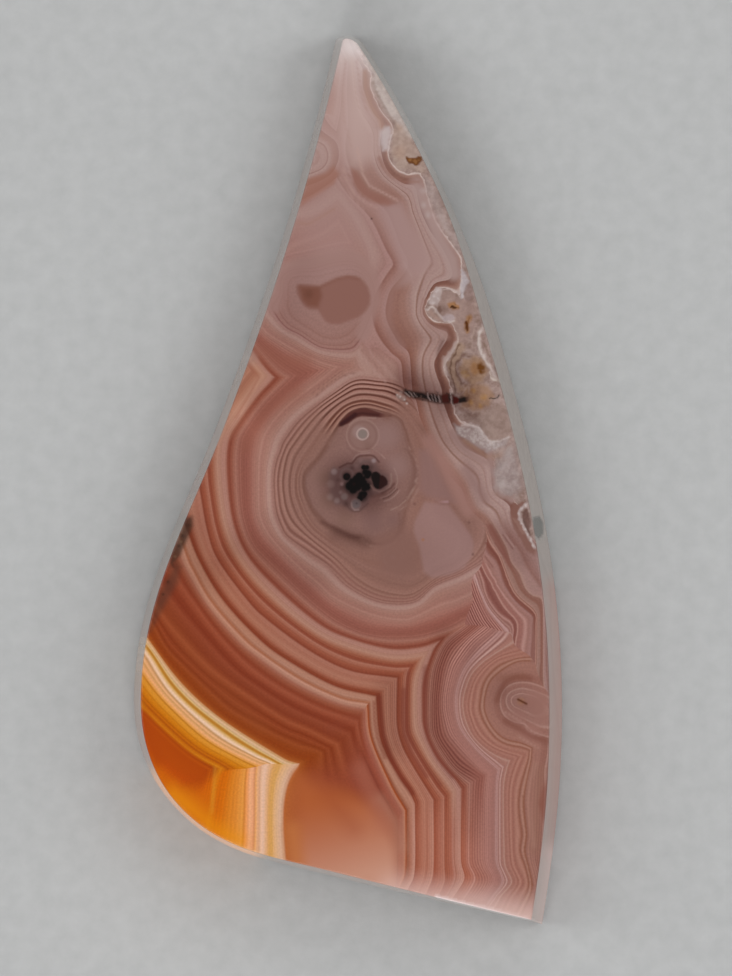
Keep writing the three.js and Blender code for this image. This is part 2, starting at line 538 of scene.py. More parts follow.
def speckles(count, smallest, largest, *outline):
    """Small round spots scattered inside an outline."""
    low, high = np.min(outline, axis=0), np.max(outline, axis=0)
    spots = []
    while len(spots) < count:
        x, y = speckle_draws.uniform(low[0], high[0]), speckle_draws.uniform(low[1], high[1])
        radius = speckle_draws.uniform(smallest, largest)
        if distance_to_path(np.array([(x, y)]), outline)[0] < 0:
            spots.append((x, y, radius))
    return spots


# Soft tints of the face, and a painted highlight along the bottom arris, in the order in which they are laid
# on
TINTS = [
    dots((222, 210, 208), 66, 0.9, (352, 48, 24)),
    dots((184, 157, 151), 70, 0.7, (350, 118, 36)),
    dots((164, 134, 128), 90, 0.5, (340, 190, 40)),
    dots((161, 130, 126), 90, 0.5, (330, 250, 45)),
    patch((184, 158, 152), 22, 0.6, (338, 56), (362, 56), (361, 90), (376, 140), (375, 156), (362, 166),
        (351, 166), (345, 150), (346, 120), (336, 90)),
    patch((184, 170, 164), 8, 0.85, (366, 60), (374, 74), (373, 86), (386, 112), (396, 122), (400, 134),
        (412, 140), (420, 136), (400, 92), (380, 60)),
    stroke((168, 134, 121), 4.5, 5, 0.8, (365, 72), (366, 90), (371, 106), (380, 120), (384, 132)),
    patch((161, 131, 126), 14, 0.75, (384, 205), (402, 203), (436, 262), (414, 284), (398, 286),
        (402, 262)),
    stroke((160, 130, 126), 26, 14, 0.5, (392, 214), (412, 262)),
    stroke((162, 136, 131), 13, 9, 0.9, (416, 184), (440, 240), (452, 260), (454, 274)),
    stroke((148, 111, 103), 9, 9, 0.6, (402, 274), (391, 292), (388, 318), (392, 332), (401, 346)),
    stroke((150, 115, 106), 4.5, 5, 0.6, (424, 300), (423, 312), (430, 326), (445, 331), (448, 338)),
    stroke((151, 112, 104), 13, 12, 0.75, (430, 440), (468, 510)),
    stroke((152, 117, 110), 14, 8, 0.85, (274, 306), (282, 274), (298, 266), (350, 257), (364, 264),
        (373, 282), (374, 300), (363, 334)),
    stroke((140, 86, 71), 16, 18, 0.6, (304, 362), (280, 362), (262, 348)),
    stroke((139, 84, 68), 12, 20, 0.5, (296, 392), (266, 412), (246, 446)),
    patch((170, 122, 100), 12, 0.5, (252, 352), (268, 376), (229, 437), (218, 440), (242, 362)),
    patch((148, 100, 84), 6, 0.7, (304, 180), (326, 173), (334, 166), (339, 174), (334, 184), (298, 208)),
    dots((129, 92, 82), 40, 0.6, (392, 558, 16)),
    stroke((146, 114, 109), 10, 12, 0.8, (466, 470), (484, 498)),
    dots((154, 118, 107), 10, 0.6, (250, 358, 7)),
    stroke((143, 72, 34), 10, 24, 0.3, (166, 610), (190, 652), (262, 728)),
    stroke((132, 62, 44), 6, 14, 0.3, (362, 716), (330, 728)),
    dict(patch((170, 89, 46), 26, 0.92, (296, 774), (372, 803), (390, 822), (398, 850), (402, 905),
        (296, 884)),
         to=(194, 142, 120), fade=((305, 800), (330, 884))),
    stroke((146, 66, 40), 12, 28, 0.35, (314, 778), (354, 828)),
    stroke((172, 122, 102), 8, 22, 0.6, (380, 800), (396, 822), (402, 846)),
    stroke((184, 110, 60), 13, 22, 0.8, (293, 830), (298, 868)),
    stroke((162, 97, 78), 14, 22, 0.5, (360, 770), (384, 824)),
    stroke((142, 102, 94), 4, 4, 0.6, (531, 618), (534, 640), (533, 662)),
    stroke((232, 180, 116), 2, 6, 0.65, (172, 800), (192, 820), (216, 837), (262, 856)),
    # Painted highlight along the bottom arris
    stroke((255, 250, 255), 2.2, 2, 1, (436, 897), (527, 919)),
    stroke((124, 58, 44), 5, 4, 0.65, (403.5, 690), (402.5, 715), (404.5, 735), (412, 755), (426, 776)),
    stroke((114, 48, 34), 5, 4, 0.7, (379, 697), (383, 735), (390, 757), (400, 776), (412, 793)),
    stroke((120, 60, 48), 4, 4, 0.5, (408, 672), (407, 715), (409, 735), (417, 752), (440, 785)),
    stroke((122, 64, 54), 5, 4, 0.5, (425, 668), (425, 715), (428, 738), (438, 758), (452, 776)),
    stroke((134, 74, 56), 3, 3, 0.7, (374, 702), (374.5, 720), (377.5, 738), (385, 758)),
    patch((172, 70, 0), 12, 0.65, (146, 714), (208, 768), (206, 780), (180, 774), (158, 756), (146, 736)),
    patch((200, 100, 2), 22, 0.85, (154, 774), (180, 790), (204, 794), (212, 806), (206, 822), (184, 810)),
    stroke((208, 140, 40), 2, 5, 0.6, (215, 768), (212, 812)),
    stroke((226, 140, 8), 8, 30, 0.8, (174, 794), (214, 828), (240, 841)),
    stroke((166, 64, 0), 12, 14, 0.7, (142, 716), (158, 760)),
    dots((176, 98, 4), 14, 0.7, (140, 704, 4)),
    # Paler along the bottom edge, round the painted highlight on its arris
    stroke((218, 185, 177), 26, 46, 0.9, (396, 897), (536, 920)),
    stroke((188, 142, 130), 4, 14, 0.6, (288, 868), (400, 893)),
    dots((150, 106, 96), 14, 0.75, (519, 716, 8), (536, 700, 10), (532, 730, 8)),
    stroke((132, 86, 70), 5, 10, 0.55, (500, 678), (524, 675)),
    stroke((140, 99, 84), 8, 12, 0.6, (540, 770), (534, 850)),
]

# Colours of the leaning rim, most of them painted light: a painted grey reflection, a painted glow where
# light shines through, and painted highlights along the bottom arris
RIM_LIGHT_AND_TINTS = [
    # Painted grey reflection over the whole rim
    dots((186, 178, 170), 10, 0.7, (330, 480, 700)),
    stroke((176, 150, 132), 8, 20, 0.6, (134, 680), (143, 745)),
    # Painted glow where light shines through the lower left rim
    stroke((250, 196, 150), 10, 22, 0.8, (156, 772), (200, 827), (250, 853)),
    stroke((200, 136, 120), 10, 40, 0.75, (556, 590), (562, 640), (556, 850)),
    stroke((236, 202, 194), 14, 30, 0.85, (553, 856), (545, 926)),
    stroke((212, 204, 198), 8, 20, 0.7, (386, 70), (430, 165)),
    # Painted highlight along the bottom arris, faint on the left and bright on the right
    stroke((206, 168, 152), 4, 3, 0.7, (288, 861), (440, 897)),
    stroke((255, 248, 244), 5, 3, 1, (440, 897), (528, 919.5)),
    patch((92, 90, 82), 3, 0.95, (533, 518), (540, 516), (544, 523), (544, 534), (539, 539), (533, 533)),
]

# Small sharp details of the face, in the order in which they are laid on
EYE_CENTRE = (362.6, 434.0)

DETAILS = [
    # The lone brown patch in the upper part
    patch((133, 92, 82), 3.5, 0.95, (296, 286), (300, 284), (320, 285.5), (337, 277.5), (347, 275),
        (356, 276), (363, 280), (368, 287), (370.5, 296), (370, 304), (366, 311), (359, 317), (340, 324),
        (331, 324), (325, 321), (318, 310), (310, 309.5), (304, 306), (297, 294)),
    stroke((122, 78, 66), 2, 5, 0.6, (322, 286), (337, 279), (349, 277), (359, 279)),
    patch((117, 72, 58), 6, 0.85, (299, 286), (320, 287), (322, 296), (318, 307), (308, 306), (302, 300)),
    dots((104, 63, 49), 7, 0.6, (309, 294, 4)),

    # Lines between the lone patch, the seam and the nucleus
    stroke((168, 134, 126), 1.2, 2.2, 0.6, (357, 351), (375, 372), (386, 382)),
    stroke((138, 98, 90), 1.4, 2.4, 0.6, (362, 350), (390, 381)),
    stroke((166, 131, 124), 1.1, 2.2, 0.55, (366, 346), (374, 357), (395, 379)),
    stroke((140, 100, 92), 1.6, 3, 0.5, (371, 345), (399, 379)),
    stroke((112, 70, 62), 1, 1.8, 0.6, (316, 396), (324, 388), (334, 380.6), (344, 375.6), (356, 372.6)),
    stroke((168, 132, 124), 1, 1.8, 0.55, (320, 396), (329, 387.6), (339, 380.6), (350, 375.8),
        (362, 373.6)),
    stroke((118, 76, 68), 0.9, 1.8, 0.5, (312, 394), (322, 384.6), (333, 376.6), (344, 371.6)),
    stroke((140, 94, 84), 1.4, 3, 0.35, (286, 396), (304, 384), (338, 369)),

    # The lines of the upper part
    stroke((180, 148, 138), 1.6, 3.2, 0.75, (357, 148), (363, 175), (370, 186), (397, 200)),
    stroke((162, 124, 116), 1.2, 2.6, 0.45, (357, 60), (361, 90), (367, 112), (376, 128)),
    stroke((196, 170, 164), 1.2, 2.6, 0.45, (352, 58), (355, 90), (361, 114), (371, 132)),
    stroke((164, 128, 120), 1.2, 2.6, 0.35, (346, 60), (342, 90), (344, 120), (352, 150)),
    patch((140, 95, 83), 6, 0.75, (351, 168), (357, 171), (369, 189), (396, 202.6), (388, 206), (374, 203),
        (361, 196), (353, 184)),
    stroke((172, 138, 129), 1.1, 1.8, 0.65, (343, 168), (347, 182), (355, 194), (366, 203), (378, 208)),
    stroke((136, 96, 86), 1.1, 1.8, 0.55, (346.6, 168), (350.6, 181), (358.6, 192), (369.6, 201)),
    stroke((176, 142, 133), 1, 1.8, 0.5, (340, 178), (345, 188), (353, 199), (363, 209)),
    stroke((142, 102, 90), 3.6, 4, 0.7, (379, 158), (383, 167), (391, 176), (403, 182), (417, 182)),
    stroke((168, 140, 134), 1, 2.4, 0.4, (404, 262), (410, 272), (414, 284), (412, 300)),
    stroke((166, 138, 132), 1, 2, 0.5, (421, 274), (427, 270), (434, 268), (440, 270)),
    stroke((150, 110, 94), 2.4, 4, 0.4, (296, 222), (308, 224), (334, 209)),

    # The nucleus: its quiet ground and its dark border
    dots((138, 107, 102), 18, 0.75, (386, 436, 12), (397, 466, 10)),
    dots((122, 90, 80), 18, 0.8, (325, 478, 8), (328, 500, 8), (345, 518, 8)),
    dots((119, 87, 82), 18, 0.8, (374, 522, 10), (392, 520, 6)),
    stroke((104, 68, 58), 2.5, 4.5, 0.6, (327, 447), (304.5, 476), (304, 486), (312, 509), (328, 525),
        (354, 537), (362, 537)),
    stroke((82, 48, 42), 3, 4.5, 0.6, (322, 522), (350, 536), (358, 537.5)),
    stroke((118, 85, 78), 4, 6, 0.5, (414.5, 468), (413.5, 480), (409, 491), (394, 505)),
    stroke((166, 136, 126), 0.9, 1.6, 0.5, (416.5, 478), (413.5, 489), (407, 499), (399, 506), (391, 510)),
    stroke((160, 130, 122), 0.8, 1.6, 0.35, (419, 486), (415, 496), (408, 504), (400, 510)),

    # The dark crescent over the nucleus
    patch((80, 40, 35), 1.6, 0.95, (338, 426.5), (340.5, 421.5), (348.5, 413), (360, 408.2), (366, 407.8),
        (381, 413), (392, 415), (391, 416.5), (380, 417.5), (362, 416.2), (356, 417.8), (348.5, 423.5),
        (340, 426.8)),
    stroke((48, 18, 20), 4.5, 3, 0.85, (341.5, 424), (355, 414.8)),
    stroke((56, 24, 22), 2.6, 3, 0.7, (355, 414.6), (362, 413.2), (378, 415)),
    dots((118, 80, 70), 8, 0.75, (387, 415.5, 4)),
    stroke((112, 76, 66), 1.2, 2.4, 0.6, (385, 413.4), (396, 416.2), (400, 419.5), (406.5, 431),
        (408, 440)),
    stroke((160, 130, 120), 0.9, 1.8, 0.5, (349, 425), (354, 420.5), (360, 417.8), (376, 418)),

    # The round eye below the crescent
    dots((132, 100, 93), 3, 0.8, (363, 434.5, 15)),
    circle((118, 84, 76), 1.6, 2.4, 0.5, 362.8, 435.5, 13.6),
    circle((156, 126, 117), 0.9, 1.6, 0.5, 362.8, 435.5, 16.2),
    dots((146, 118, 113), 4, 0.6, (359, 432, 6.5)),
    circle((176, 154, 148), 1.3, 1.5, 0.85, *EYE_CENTRE, 5.6),
    dots((126, 110, 104), 1.2, 1, (*EYE_CENTRE, 4.4)),
    stroke((118, 86, 80), 1.4, 2.4, 0.5, (364, 441), (370, 437)),
    stroke((114, 82, 75), 1.2, 2.2, 0.5, (346.5, 442), (347.5, 447), (354, 454)),
    dots((120, 88, 80), 7, 0.5, (356, 452, 2), (368, 446, 4)),

    # The lobed wreath of pale knots round the black clusters
    patch((116, 90, 87), 6, 0.75, (340, 468), (346, 464), (353, 463.5), (358, 458), (375, 458), (380, 470),
        (388, 475), (389, 483), (386, 490), (371, 497), (367, 506), (360, 511), (351, 511), (344, 505),
        (336, 505), (330, 497), (329, 474), (333, 467)),
    dots((88, 62, 58), 4.5, 0.6, (343, 487, 3), (346, 504, 3), (338, 480, 1.5), (352, 468, 2),
        (371, 467, 2), (370, 494, 3), (352, 495, 3)),
    stroke((86, 52, 47), 1.7, 1.8, 0.8, (339.5, 467.5), (347.5, 463.4), (352, 463.5), (356.5, 457.8),
        (360, 455.9), (370, 455.2), (374, 456.2), (379, 462)),
    stroke((156, 126, 120), 0.9, 1.5, 0.65, (353, 459.5), (355.5, 456), (359.5, 453.8), (370, 452.8)),
    stroke((162, 130, 122), 1, 1.6, 0.65, (373.5, 449.4), (378, 451), (385, 458.5)),
    stroke((104, 70, 63), 1, 1.8, 0.45, (366, 448.5), (377, 450.2), (381, 453.4)),
    dots((152, 131, 129), 3, 0.85, (334.2, 471.8, 2.8)),
    dots((144, 118, 112), 4, 0.7, (331, 484, 3.6), (330, 497, 3)),
    dots((142, 126, 122), 3, 0.85, (344.3, 496.5, 3.2)),
    dots((150, 128, 124), 3, 0.7, (340.6, 492.4, 1.6), (337, 500.6, 2.6)),
    dots((158, 132, 130), 2.2, 0.75, (341.8, 484, 1.8)),
    dots((160, 140, 140), 2.8, 0.85, (373.8, 460.8, 2)),
    dots((136, 108, 104), 3, 0.6, (361, 461, 2.4), (356, 466, 2)),
    circle((128, 106, 104), 1.6, 2, 0.6, 346.8, 475, 6.4),
    dots((54, 40, 38), 4, 0.75, (346.8, 476.6, 4.6), (353, 486, 9), (360, 480, 8), (366.5, 474, 6),
        (365.5, 486, 7), (362, 496, 6)),
    circle((104, 84, 82), 1.4, 2, 0.4, 366, 467.6, 6.2),

    # The black clusters
    dots((14, 7, 6), 1.6, 1, (346.8, 476.7, 3.7), (363.7, 467.3, 2.7), (366.9, 467.4, 2.5),
        (365.4, 472.2, 3.2), (368.2, 473.8, 3.6), (367.2, 475.6, 3.2), (359.2, 476.2, 3.9),
        (356.6, 479.4, 4.4), (361.5, 479.8, 4.2), (352.8, 482.4, 4.4), (350.2, 486, 4.7), (354.4, 485.4, 5),
        (353.2, 489.4, 4.2), (357.6, 486.8, 4), (363, 483.4, 4.4), (366.8, 486.6, 3.8), (364.2, 488.8, 2.9),
        (362.4, 495, 4), (360.4, 498, 3.2), (364.6, 493.8, 2.8)),
    dots((38, 14, 13), 2, 0.7, (347, 476.4, 1.6), (354, 484, 1.4), (363.2, 496.4, 1.2), (365.2, 467, 0.8)),
    patch((27, 17, 15), 1.4, 1, (371.4, 474.4), (373.3, 472), (376, 471.4), (379, 472.8), (381, 475.4),
        (379.6, 489.2), (376.4, 489), (373.8, 486.6), (371, 478)),
    patch((54, 27, 25), 1.4, 1, (380.2, 475.6), (383, 475.3), (386, 477.6), (387.8, 481), (387.6, 484.6),
        (380.6, 489.2), (378.8, 488.8)),
    dots((58, 20, 12), 2, 0.7, (381.6, 476.6, 1.4)),

    # The arcs to the right of the clusters and the borders of the lobes
    stroke((110, 76, 69), 1.4, 2.6, 0.6, (406, 449), (412.4, 458), (415, 470), (413.6, 484), (408, 496),
        (398, 506)),
    stroke((160, 126, 118), 1, 2.2, 0.45, (409, 447), (415, 457), (418, 470), (416.6, 485)),
    stroke((108, 74, 67), 1.3, 2.4, 0.6, (360, 536.6), (374, 543.6), (384, 544), (392, 540.6), (398, 533),
        (400.4, 523), (398.4, 513)),
    stroke((156, 122, 112), 1, 2, 0.4, (362, 541.6), (372, 546.6), (384, 547.4), (394, 543.4), (401, 535)),
    circle((138, 106, 98), 1, 2.4, 0.4, 393, 558, 9),
    dots((138, 106, 100), 4, 0.5, (393, 557, 2.4)),
    stroke((158, 130, 121), 1.4, 2, 0.6, (371, 485.5), (374, 489.8), (379, 491.6), (385, 490.4),
        (389.6, 486.6), (391.6, 481), (391, 474)),
    stroke((88, 52, 47), 1.6, 2.4, 0.75, (382, 493), (391, 488), (394.4, 483.4)),
    stroke((166, 136, 127), 0.8, 1.3, 0.5, (380, 498.2), (386, 496.4), (391.5, 493), (395.6, 488.6),
        (397.6, 482), (397, 475), (394, 468)),
    stroke((84, 50, 45), 0.9, 1.1, 0.8, (383, 498.8), (388.6, 497), (397.6, 489)),
    stroke((84, 52, 47), 0.7, 1.1, 0.6, (389, 493.4), (395.2, 487.8)),
    stroke((170, 140, 131), 0.8, 1.3, 0.65, (384, 501.4), (389.6, 499.4), (394.6, 496), (399.2, 490.6)),
    stroke((104, 70, 62), 1.8, 3.5, 0.5, (372, 496.6), (386, 493.8)),

    # The grey-blue knot at the foot of the wreath
    stroke((84, 56, 50), 1.2, 2.2, 0.5, (346, 503), (348.6, 508), (353, 511.6), (359, 511.6),
        (367.6, 503.6)),
    dots((120, 108, 108), 1.8, 0.9, (356, 503.8, 4.4)),
    stroke((158, 136, 132), 1.2, 1.6, 0.8, (351.6, 503), (352, 507), (354.6, 510), (358.6, 509.6)),
    circle((142, 122, 119), 0.9, 1.4, 0.5, 356, 504, 5),
    dots((82, 70, 72), 1.8, 0.8, (356.6, 503.4, 1)),

    # The quiet pink field and the olive ground below the nucleus
    patch((127, 91, 82), 16, 0.7, (376, 540), (404, 528), (412, 534), (420, 558), (416, 572), (400, 577),
        (384, 570)),
    patch((134, 101, 97), 10, 0.7, (419, 450), (428, 450), (456, 503), (426, 497), (420, 490)),
    patch((146, 114, 111), 4.5, 0.6, (424.5, 501.5), (449, 505.5), (471.5, 536), (474, 545), (472, 556),
        (464, 568), (450, 575), (432, 578), (424, 572), (419.5, 547), (413.6, 531), (414.6, 522)),
    stroke((118, 84, 82), 0.8, 1.6, 0.6, (434, 502), (446, 504.6), (449, 504)),
    stroke((176, 142, 148), 1, 1.8, 0.7, (437, 500.6), (447, 501.6)),
    dots((166, 138, 132), 1.8, 0.7, (458.4, 467.2, 1.2), (457, 466, 1)),

    # Tiny inclusions
    dots((150, 96, 60), 1.6, 0.8, (422.8, 539.6, 1)),
    dots((62, 32, 30), 1.3, 0.8, (437.4, 495.2, 0.5), (415, 504, 0.5), (469, 523.4, 0.6), (472.6, 554, 0.6),
        (371.6, 218.6, 0.9), (374.6, 343.6, 0.7)),

    # The stone beyond the seam, from the tip down
    patch((168, 145, 133), 5, 0.7, (395, 122), (402, 126), (422, 156), (426, 172), (398, 168), (391, 156)),
    dots((164, 134, 118), 8, 0.6, (400, 152, 6), (399, 128, 2)),
    stroke((132, 110, 100), 1.6, 2.4, 0.6, (374, 84), (386, 111), (393, 121), (397, 130)),
    stroke((186, 172, 166), 0.9, 1.8, 0.5, (377.5, 86), (390, 112), (398, 123)),
    patch((98, 54, 14), 1.8, 0.95, (405.6, 157), (408.6, 156.4), (411, 158), (417, 157.8), (418.6, 156),
        (422, 157), (421, 162.6), (416.4, 165.6), (410, 165), (406.6, 161.6)),
    dots((146, 100, 58), 2, 0.7, (410.6, 160.4, 1.4), (415.6, 161.6, 1.6), (418.8, 160, 0.8)),
    dots((176, 158, 154), 5, 0.6, (424, 205, 3), (428, 214, 2.4), (424, 190, 2.6)),
    patch((162, 144, 140), 5, 0.6, (424, 176), (431, 182), (462, 250), (458, 252), (440, 222), (428, 196)),
    patch((190, 176, 175), 5, 0.8, (380, 132), (384, 127.6), (390, 126), (392.6, 131), (388, 150),
        (383.6, 151), (380, 143)),
    patch((174, 163, 165), 1.8, 0.9, (461.6, 262), (463.4, 270), (469.4, 283), (466.4, 287), (464, 297),
        (461, 299)),
    patch((133, 109, 104), 2.4, 0.7, (465, 286), (469, 283.6), (472, 288), (473, 297), (469, 303),
        (465, 298)),
    patch((150, 124, 116), 3, 0.8, (441, 291), (450, 291), (457, 298), (468, 300), (474, 306), (474, 330),
        (464, 345), (458, 340), (454, 328), (447, 319), (437, 312), (434, 306), (440, 300)),
    patch((176, 158, 154), 2.4, 0.9, (436, 287.4), (443, 287.6), (440.4, 300), (437, 304.4), (431, 305),
        (427.6, 302)),
    dots((192, 178, 175), 2.4, 0.6, (437, 291, 1.6), (433.6, 297, 1.8), (438.4, 298, 1.2),
        (432, 302.6, 1.2)),
    stroke((186, 166, 160), 1.3, 1.8, 0.7, (444, 288.4), (451, 289.6), (457, 292.6), (460.4, 297)),
    patch((152, 124, 114), 2, 0.9, (427, 310), (431, 309.6), (440, 318.6), (448, 321.6), (440, 321.6),
        (432, 318)),
    stroke((188, 170, 164), 2.2, 1.8, 0.85, (427, 308.6), (431, 307), (434.6, 309), (440, 317.4),
        (446, 320.4), (453, 321.6)),
    patch((166, 148, 148), 2.4, 0.8, (440, 316), (446, 314), (453, 314.6), (456, 319), (450, 321),
        (443, 320)),
    patch((112, 84, 74), 2, 0.85, (434.6, 307), (438, 305.4), (442, 306.4), (442.6, 311), (439.4, 315),
        (436.4, 312)),
    dots((120, 92, 84), 5, 0.5, (445, 309, 3)),
    patch((152, 102, 50), 3.4, 0.75, (448, 304), (453, 302.6), (459, 304), (459.6, 308.6), (453, 309.4),
        (448.6, 307.6)),
    stroke((52, 20, 4), 1.6, 1.4, 0.95, (451.6, 307.5), (455, 307.7)),
    dots((72, 32, 8), 1.6, 0.85, (458.2, 307.4, 0.8), (454.4, 304, 0.5)),
    stroke((150, 104, 58), 4.4, 2.6, 0.7, (469, 317), (467, 324), (467.6, 331)),
    patch((78, 36, 6), 1.6, 0.95, (465.2, 321), (467.4, 321), (468.8, 325), (468.4, 329.6), (466.4, 331)),
    stroke((104, 58, 20), 1, 1.5, 0.8, (469, 317.6), (468.4, 322)),
    stroke((164, 140, 130), 1.3, 2.2, 0.6, (473, 290), (477.4, 318), (470, 345)),
    stroke((128, 102, 92), 1.2, 2.2, 0.5, (475.6, 290), (479.6, 318), (473, 345)),
    patch((158, 130, 110), 3, 0.75, (458, 342), (448, 362), (448.6, 372), (458, 392), (464, 390),
        (458, 380), (455, 370), (456.6, 361), (463, 354), (466, 346)),
    stroke((104, 72, 58), 1.8, 2.4, 0.85, (471, 354.4), (464, 355.6), (458.4, 359.6), (455.4, 366),
        (456.8, 375), (461.6, 383), (467, 387)),
    patch((152, 120, 96), 5, 0.8, (463, 360), (474, 356), (485, 360), (488, 372), (483, 382), (472, 384),
        (463, 378), (460, 369)),
    dots((150, 106, 66), 6, 0.75, (476, 368, 6)),
    dots((150, 112, 60), 4, 0.5, (464.6, 373, 2), (467, 376, 1.6)),
    dots((104, 60, 14), 3.4, 0.95, (481.6, 368, 3), (482, 371.6, 2.6), (480.8, 365.6, 2)),
    stroke((164, 140, 130), 1.2, 2, 0.5, (484, 379), (466, 391)),
    stroke((184, 168, 162), 3.2, 2.4, 0.75, (482.4, 327), (479.6, 335), (479.6, 345), (482.4, 355),
        (496, 377.6)),
    stroke((204, 192, 186), 1, 1.6, 0.6, (481, 331), (479, 340), (480.6, 350), (484.6, 359), (490, 367)),
    stroke((122, 98, 86), 2.2, 2, 0.75, (484.6, 343), (487, 352), (491.6, 361)),
    stroke((60, 44, 38), 0.9, 1.2, 0.7, (493.6, 366), (495.4, 371.6)),
    stroke((186, 176, 172), 1.8, 2, 0.5, (490.6, 343), (495, 359)),
    stroke((200, 186, 176), 1.5, 1.8, 0.8, (489.6, 373), (491.6, 377.4), (495, 379.4), (500, 380)),
    stroke((176, 156, 149), 4, 2.4, 0.75, (456.6, 342), (446, 359), (444.4, 366), (445.6, 374)),
    stroke((94, 62, 50), 1.8, 2, 0.85, (460, 345), (450.6, 361), (450, 369), (455.4, 393)),
    stroke((94, 58, 50), 3.4, 2.6, 0.6, (443, 340), (438.4, 352), (437.6, 364), (443.4, 388)),

    # The crack and its rusty stain
    patch((146, 110, 84), 6, 0.75, (462, 388), (474, 383), (488, 386), (494, 396), (488, 407), (474, 411),
        (462, 407)),
    dots((170, 124, 66), 4.5, 0.55, (474, 391, 2.4), (484, 397, 2.4), (470, 403, 2.6), (480, 405, 1.6)),
    stroke((128, 98, 84), 1.6, 2.6, 0.6, (461, 408), (467, 414), (476, 416), (484, 412), (488, 408)),
    stroke((164, 140, 132), 1.4, 2, 0.6, (462, 394), (464, 389.6), (469, 386.6), (468, 392)),
    dots((164, 140, 132), 3, 0.7, (399, 396.4, 2.6), (403.6, 398, 2.4), (401, 392.4, 1.6)),
    stroke((100, 78, 72), 1, 1.4, 0.6, (395, 391.6), (399, 390.6), (404, 392.6), (406.4, 396),
        (404.8, 401.4), (400.6, 400.8), (397.8, 397.4)),
    dots((196, 182, 176), 1.6, 0.8, (400.4, 396.6, 0.9), (404.6, 399.6, 0.8), (397.2, 394.8, 0.7),
        (406.8, 403.4, 0.9)),
    stroke((66, 38, 32), 6, 8, 0.6, (406, 393), (466, 400)),
    patch((64, 38, 30), 2.4, 0.75, (402, 389), (441, 395), (452, 394), (467, 398), (466, 402), (452, 404),
        (438, 404), (412, 398.4), (406, 395)),
    patch((26, 14, 10), 1.2, 0.95, (404, 390.6), (409, 390.4), (412, 392), (422, 393.2), (427, 395.4),
        (433, 395), (440, 397.4), (441, 400.6), (436, 402.4), (431, 400), (420, 397.4), (415, 397.8),
        (406.4, 394)),
    dots((110, 86, 78), 1.2, 0.6, *speckles(22, 0.2, 0.7, (404, 390), (440, 395), (441, 403), (405, 397))),
    dots((16, 8, 6), 1.2, 0.7, *speckles(26, 0.3, 0.9, (404, 389), (452, 393), (452, 404), (405, 398))),
    stroke((170, 152, 146), 0.9, 1.1, 0.8, (405, 392.4), (409.6, 396.6)),
    stroke((166, 146, 140), 0.8, 1.1, 0.75, (409, 391.6), (413.6, 397)),
    stroke((164, 142, 136), 0.7, 1.1, 0.7, (413.4, 392.6), (417, 397)),
    stroke((174, 156, 152), 1.2, 1.1, 0.85, (427.6, 393), (428, 397), (430.4, 400.4)),
    stroke((168, 150, 146), 0.8, 1.1, 0.75, (431.4, 394.6), (433.4, 401)),
    stroke((176, 160, 156), 0.9, 1.1, 0.8, (434.6, 395), (436.4, 401.6)),
    stroke((176, 160, 156), 1.3, 1.1, 0.8, (438.4, 396), (440.2, 402)),
    patch((82, 26, 16), 1.4, 0.85, (441.6, 395.6), (447, 394.6), (448, 402.6), (442.4, 402.6)),
    patch((80, 12, 4), 1.4, 0.95, (452.8, 395), (458, 395.6), (460, 399), (458.4, 402.8), (453, 403.4)),
    patch((18, 8, 6), 1.5, 0.9, (459.4, 397.4), (465.4, 397.6), (465.6, 402), (459.8, 402.4)),
    stroke((198, 184, 180), 1.1, 1.2, 0.85, (450.8, 389), (451, 403), (456.6, 415)),
    stroke((20, 10, 8), 1.1, 1.1, 0.9, (448.6, 395), (449.4, 400.6)),
    stroke((22, 14, 12), 1.1, 1.2, 0.95, (489.4, 399.8), (500, 396.4)),

    # The dark bands beside the nucleus and the fan
    patch((126, 78, 69), 4, 0.75, (486, 524), (492, 525), (509, 558), (513, 570), (508, 566), (489, 534)),
    stroke((112, 63, 54), 2, 2, 0.75, (486, 543), (497, 557), (500, 564)),
    stroke((170, 132, 124), 1, 1.6, 0.6, (490, 541), (501, 556)),
    stroke((116, 68, 60), 1.2, 1.8, 0.5, (495, 543), (505, 557)),
    stroke((116, 72, 64), 1.2, 1.6, 0.7, (503, 535), (513, 549)),
    stroke((172, 136, 128), 0.8, 1.4, 0.6, (504.6, 534), (514, 547)),
    stroke((118, 74, 66), 1, 1.4, 0.6, (506.4, 533), (515, 545)),
    stroke((120, 78, 68), 1, 1.6, 0.6, (481, 556), (490, 568)),
    stroke((112, 68, 58), 1.2, 1.6, 0.6, (485, 556), (493, 567)),

    # The white wisps below the crack and the pale mottled ground
    patch((144, 121, 112), 4, 0.75, (462, 412), (474, 418), (500, 402), (508, 412), (514, 432), (507, 437),
        (492, 441.6), (486, 435.6), (481, 426), (463, 419)),
    stroke((148, 119, 113), 7, 5, 0.95, (486, 443), (490, 452), (494, 480), (499, 492), (512, 500)),
    stroke((148, 118, 112), 7, 5, 0.8, (452, 432), (462, 446), (474, 456), (486, 462)),
    patch((152, 137, 135), 5, 0.75, (455, 424.5), (479, 427), (487, 440), (493, 443), (508, 438),
        (506, 446), (489, 452), (480, 449), (457, 434)),
    stroke((150, 118, 103), 4, 5, 0.6, (464, 441), (483, 454), (495, 457.6), (503, 454), (508, 447)),
    stroke((190, 176, 172), 1.4, 2.4, 0.7, (462, 424.4), (479, 427.4), (487, 440), (492.6, 442.6),
        (509, 437)),
    patch((151, 134, 131), 9, 0.8, (494, 472), (505, 448), (512, 444), (517, 456), (522, 488), (516, 497),
        (504, 497), (496, 488)),
    dots((166, 152, 148), 8, 0.5, (510, 452, 4), (500, 484, 5)),
    dots((182, 170, 166), 1.8, 0.55, *speckles(90, 0.4, 1.5, (456, 426), (478, 428), (488, 442), (504, 442),
        (498, 449), (484, 448), (470, 440), (458, 434))),
